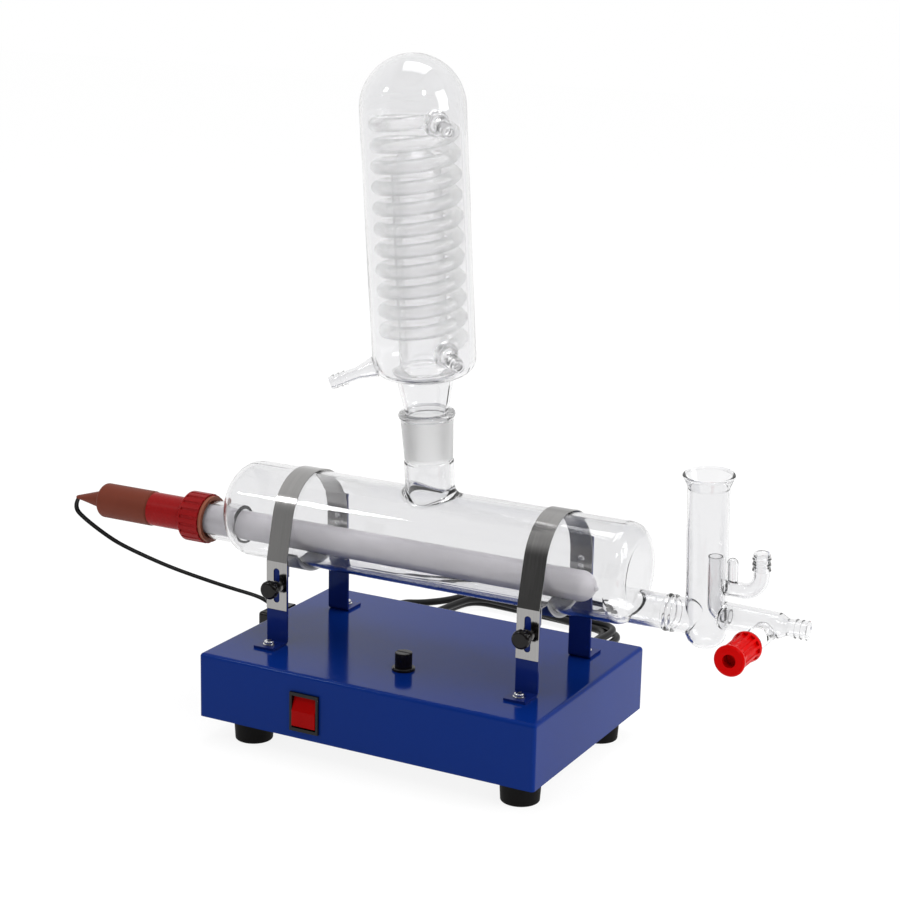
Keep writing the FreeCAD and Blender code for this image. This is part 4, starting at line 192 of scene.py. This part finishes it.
class Graph:
    """The nodes of a material or of the world."""

    def __init__(self, tree):
        self.tree = tree

    def add(self, kind, **settings):
        node = self.tree.nodes.new(kind)
        for key, value in settings.items():
            setattr(node, key, value)
        return node

    def link(self, source, target):
        self.tree.links.new(source, target)

    def spread(self, value, low, high, out_low, out_high, **settings):
        """The range from low to high stretched from out_low to out_high, and held at both ends."""
        node = self.add("ShaderNodeMapRange", **settings)
        node.inputs["From Min"].default_value = low
        node.inputs["From Max"].default_value = high
        node.inputs["To Min"].default_value = out_low
        node.inputs["To Max"].default_value = out_high
        self.link(value, node.inputs["Value"])
        return node.outputs["Result"]

    def blend(self, factor, first, second):
        """Two colours mixed; each is a tuple or another node's output."""
        node = self.add("ShaderNodeMix", data_type="RGBA")
        self.link(factor, node.inputs["Factor"])
        for socket, value in ((node.inputs[MIX_FIRST], first), (node.inputs[MIX_SECOND], second)):
            if isinstance(value, tuple):
                socket.default_value = (*value, 1)
            else:
                self.link(value, socket)
        return node.outputs[MIX_RESULT]

    def calculate(self, operation, first, second, **settings):
        """Two values worked into one; each is a float or another node's output."""
        node = self.add("ShaderNodeMath", operation=operation, **settings)
        for socket, value in zip(node.inputs, (first, second)):
            if isinstance(value, float):
                socket.default_value = value
            else:
                self.link(value, socket)
        return node.outputs[0]


class Finish(Graph):
    """A material under construction, on its Principled shader and in the frame's own places."""

    def __init__(self, name):
        self.material = bpy.data.materials.new(name)
        self.material.use_nodes = True
        super().__init__(self.material.node_tree)
        self.shader = self.tree.nodes["Principled BSDF"]
        self.place = self.add("ShaderNodeTexCoord").outputs["Object"]

    def noise(self, scale, detail=3, roughness=0.5):
        node = self.add("ShaderNodeTexNoise")
        node.inputs["Scale"].default_value = scale
        node.inputs["Detail"].default_value = detail
        node.inputs["Roughness"].default_value = roughness
        self.link(self.place, node.inputs["Vector"])
        return node.outputs["Fac"]

    def vary(self, noise, out_low=0, out_high=1):
        """A noise's middle range stretched between two values."""
        return self.spread(noise, *NOISE_RANGE, out_low, out_high)

    def feed(self, socket, source):
        self.link(source, self.shader.inputs[socket])

    def bump(self, height, strength, distance=FINE_RELIEF):
        node = self.add("ShaderNodeBump")
        node.inputs["Strength"].default_value = strength
        node.inputs["Distance"].default_value = distance
        self.link(height, node.inputs["Height"])
        self.feed("Normal", node.outputs["Normal"])

    def set(self, **values):
        """Plain numbers and colours on the shader's own sockets."""
        for key, value in values.items():
            socket = self.shader.inputs[key.replace("_", " ")]
            socket.default_value = (*value, 1) if socket.type == "RGBA" else value


def linear(red, green, blue):
    """A colour given as it reads on screen, 0 to 255, by the sRGB curve."""
    parts = [v / 255 for v in (red, green, blue)]
    return tuple(((v + 0.055) / 1.055) ** 2.4 if v > 0.0404 else v / 12.92 for v in parts)


def scaled(colour, factor):
    return tuple(v * factor for v in colour)


def enamel(name, colour):
    """Stoved enamel: one smooth colour with a faint orange peel, and a weak mirror at low angles."""
    made = Finish(name)
    made.feed("Base Color", made.blend(made.vary(made.noise(scale=7)), scaled(colour, 0.95), colour))
    made.feed("Roughness", made.vary(made.noise(scale=60), 0.1, 0.14))
    made.set(Specular_IOR_Level=0.11, Specular_Tint=(0.6, 0.82, 1.0))
    made.bump(made.noise(scale=260, detail=2), strength=0.03)
    return made.material


def plastic(name, colour, rough, grain=0.05, shine=0.3):
    """Moulded plastic or rubber: faint patches of a lighter tone, and a fine grain."""
    made = Finish(name)
    lighter = tuple(min(1, v * 1.08 + 0.0005) for v in colour)
    made.feed("Base Color", made.blend(made.vary(made.noise(scale=60)), colour, lighter))
    made.feed("Roughness", made.vary(made.noise(scale=240), rough - 0.03, rough + 0.04))
    made.set(Specular_IOR_Level=shine)
    made.bump(made.noise(scale=1500, detail=2), strength=grain)
    return made.material


def metal(name, colour, rough, streak):
    """Bare steel with a brushed grain; streak is the noise's scale along each axis."""
    made = Finish(name)
    stretch = made.add("ShaderNodeMapping")
    stretch.inputs["Scale"].default_value = streak
    made.link(made.place, stretch.inputs["Vector"])
    made.place = stretch.outputs["Vector"]
    lines = made.noise(scale=1, detail=4, roughness=0.65)
    made.feed("Base Color", made.blend(made.vary(lines), scaled(colour, 0.86), colour))
    made.feed("Roughness", made.spread(lines, 0.25, 0.75, rough * 0.7, rough * 1.3))
    made.set(Metallic=1.0)
    made.bump(lines, strength=0.05)
    return made.material


# Glass: the ground joint's place and axis, and the heights of its frosted zone, in millimetres
GLASS_ROLL = math.radians(4.7)
NECK_LEAN = math.radians(1.45)
BOILER_HEIGHT = 168.3
JOINT_PLACE = (3.3, 0, 104)
FROST_LOW = -36.3
FROST_HIGH = -3.5
FROST_EDGE = 0.6
FROST_ROUGHNESS = 0.42
BLUE_TRACE = 0.006
roll = Matrix.Rotation(GLASS_ROLL, 3, "X")
joint_up = roll @ Matrix.Rotation(-NECK_LEAN, 3, "Y") @ Vector((0, 0, 1))
joint_centre = (roll @ Vector(JOINT_PLACE) + Vector((0, 0, BOILER_HEIGHT))) * MM


def clear_glass(name, tint=0.91, solid=1.0, bend=1.47):
    """Blown glass: nearly clear and faintly uneven, with a share of its light let through unbent."""
    made = Finish(name)
    made.set(
        Base_Color=(tint, tint, min(1.0, tint + BLUE_TRACE)), IOR=bend, Transmission_Weight=1.0, Alpha=solid,
    )
    made.feed("Roughness", made.vary(made.noise(scale=40, detail=2), 0.0, 0.015))
    made.bump(made.noise(scale=9, detail=2), strength=0.12, distance=0.004)
    return made


def ground_glass(name, tint):
    """Clear glass with a frosted zone on the ground joint, which takes over its roughness and colour."""
    made = clear_glass(name, tint)
    offset = made.add("ShaderNodeVectorMath", operation="SUBTRACT")
    offset.inputs[1].default_value = joint_centre
    made.link(made.place, offset.inputs[0])
    along = made.add("ShaderNodeVectorMath", operation="DOT_PRODUCT")
    along.inputs[1].default_value = joint_up
    made.link(offset.outputs[0], along.inputs[0])
    height = along.outputs["Value"]
    above = made.spread(height, FROST_LOW * MM, (FROST_LOW + FROST_EDGE) * MM, 0, 1)
    below = made.spread(height, (FROST_HIGH - FROST_EDGE) * MM, FROST_HIGH * MM, 1, 0)
    frost = made.calculate("MULTIPLY", above, below)
    made.feed("Roughness", made.calculate("MULTIPLY", frost, FROST_ROUGHNESS))
    made.feed("Base Color", made.blend(frost, (tint, tint, tint + BLUE_TRACE), (1.0, 1.0, 1.0)))
    return made


materials = {
    "case_paint": enamel("case_blue_enamel", linear(4, 31, 95)),
    "bracket_paint": enamel("bracket_blue_enamel", linear(13, 28, 86)),
    "plate_steel": metal("plate_steel_grain", (0.36, 0.36, 0.37), 0.4, (60, 60, 60)),
    "screw_steel": metal("screw_steel_bright", (0.72, 0.72, 0.72), 0.22, (300, 300, 300)),
    "band_steel": metal("band_steel_polished", (0.36, 0.355, 0.35), 0.12, (900, 20, 20)),
    "rubber_black": plastic("rubber_black_moulded", linear(13, 12, 12), 0.6, grain=0.2, shine=0.08),
    "pad_rubber": plastic("pad_rubber_grey", linear(122, 122, 125), 0.6, grain=0.2),
    "plastic_black": plastic("plastic_black_gloss", linear(9, 7, 7), 0.18, shine=0.25),
    "terminal_white": plastic("terminal_white_moulded", linear(225, 222, 210), 0.45),
    "ptfe_white": plastic("ptfe_white_turned", linear(240, 240, 238), 0.4),
    "ring_grey": plastic("ring_grey_moulded", linear(120, 122, 124), 0.5),
    "knob_red": plastic("knob_red_moulded", linear(160, 0, 0), 0.24, grain=0.04, shine=0.03),
    "cap_red": plastic("cap_red_moulded", linear(118, 14, 16), 0.26, grain=0.04, shine=0.07),
    "gasket_brown": plastic("gasket_brown_soft", linear(120, 66, 46), 0.55, grain=0.2),
    "boot_brown": plastic("boot_brown_rubber", linear(92, 41, 28), 0.5, grain=0.15, shine=0.1),
    "core_ceramic": plastic("core_ceramic_matt", linear(170, 168, 165), 0.7, grain=0.3),
    "cord_black": plastic("cord_black_sheath", linear(12, 12, 13), 0.35, grain=0.1, shine=0.2),
    "rocker_red": plastic("rocker_red_gloss", linear(122, 1, 1), 0.1, grain=0.03, shine=0.05),
    "clear_glass": clear_glass("blown_glass_clear", 0.88).material,
    "fuse_glass": clear_glass("fuse_glass_clear").material,
    "sheath_glass": plastic("sheath_milky_quartz", linear(210, 207, 212), 0.3, shine=0.2),
}
by_node = {
    "boiler_glass": ground_glass("boiler_glass_ground", 0.87).material,
    "condenser_jacket": ground_glass("jacket_glass_ground", 0.895).material,
    "vapour_tube": clear_glass("vapour_glass_thin", 0.996, solid=0.7, bend=1.4).material,
    "cooling_coil": clear_glass("coil_glass_thin", 1.0, solid=0.55, bend=1.3).material,
}
slots = {entry["node"]: entry["material_slot"] for entry in frame["record"]["subparts"]}
for node_name, piece in frame["nodes"].items():
    piece.data.materials.clear()
    piece.data.materials.append(by_node.get(node_name, materials[slots[node_name]]))
for piece in [mains_lead, *leads]:
    piece.data.materials.append(materials["cord_black"])

# Floor: white paper that the camera, mirrors and glass see near full white, and that keeps shadows
FLOOR_HALF = 6
FLOOR_DROP = 0.0003
FLOOR_GLOW = 0.86
floor_corners = [(x * FLOOR_HALF, y * FLOOR_HALF, 0) for x, y in ((-1, -1), (1, -1), (1, 1), (-1, 1))]
floor_mesh = bpy.data.meshes.new("floor")
floor_mesh.from_pydata(floor_corners, [], [(0, 1, 2, 3)])
floor = bpy.data.objects.new("floor", floor_mesh)
floor.location.z = -FLOOR_DROP
bpy.context.scene.collection.objects.link(floor)
paper = Finish("floor_paper_white")
paper.set(Base_Color=(0.97, 0.97, 0.97), Roughness=0.9, Specular_IOR_Level=0.0)
rays = paper.add("ShaderNodeLightPath").outputs
indirect = paper.calculate("MAXIMUM", rays["Is Glossy Ray"], rays["Is Transmission Ray"])
seen = paper.calculate("MAXIMUM", rays["Is Camera Ray"], indirect)
glow = paper.add("ShaderNodeEmission")
mixed = paper.add("ShaderNodeMixShader")
paper.link(paper.calculate("MULTIPLY", seen, FLOOR_GLOW), mixed.inputs[0])
paper.link(paper.shader.outputs[0], mixed.inputs[1])
paper.link(glow.outputs[0], mixed.inputs[2])
paper.link(mixed.outputs[0], paper.tree.nodes["Material Output"].inputs["Surface"])
floor.data.materials.append(paper.material)

# World: plain white, and in mirrors a studio that is darker low down and at the camera's side.
# Each ramp runs along one axis, from low to high, and from its first brightness to its second.
STUDIO_RAMPS = {
    "X": (-0.56, -0.4, 0.5, 0.0),
    "Y": (-0.5, 0.6, 0.08, 0.75),
    "Z": (0.3, 0.9, 0.0, 0.5),
}
world = bpy.data.worlds.new("studio")
bpy.context.scene.world = world
world.use_nodes = True
sky = Graph(world.node_tree)
axes = sky.add("ShaderNodeSeparateXYZ")
sky.link(sky.add("ShaderNodeTexCoord").outputs["Generated"], axes.inputs[0])
ramps = {
    axis: sky.spread(axes.outputs[axis], *numbers, interpolation_type="SMOOTHSTEP")
    for axis, numbers in STUDIO_RAMPS.items()
}
sides = sky.calculate("ADD", ramps["X"], ramps["Y"])
studio = sky.calculate("ADD", sides, ramps["Z"], use_clamp=True)
sky_rays = sky.add("ShaderNodeLightPath").outputs
mirrored = sky.calculate(
    "SUBTRACT", sky_rays["Is Glossy Ray"], sky_rays["Is Transmission Ray"], use_clamp=True,
)
background = sky.tree.nodes["Background"]
sky.link(sky.blend(mirrored, (1, 1, 1), studio), background.inputs["Color"])
background.inputs["Strength"].default_value = 1.0

# Lights: name, place, aim, width, height, power, and whether mirrors show it
SOFTBOXES = [
    ("top_left", (-1.1, -1.2, 1.5), (0, 0, 0.3), 0.22, 0.28, 4, True),
    ("top_right", (1.3, -0.9, 1.6), (0, 0, 0.3), 0.22, 0.28, 4, True),
    ("right_side", (1.8, 0.3, 1.0), (0, 0, 0.15), 0.9, 1.2, 26, False),
    ("overhead", (-0.1, 0.4, 2.2), (0, 0, 0), 1.2, 1.0, 24, False),
]
for name, place, aim, width, height, power, mirrored_too in SOFTBOXES:
    data = bpy.data.lights.new(name, "AREA")
    data.shape = "RECTANGLE"
    data.size = width
    data.size_y = height
    data.energy = power
    light = bpy.data.objects.new(name, data)
    light.location = place
    light.rotation_euler = (Vector(aim) - Vector(place)).to_track_quat("-Z", "Y").to_euler()
    light.visible_glossy = mirrored_too
    bpy.context.scene.collection.objects.link(light)

bpy.context.scene.view_settings.view_transform = "Standard"
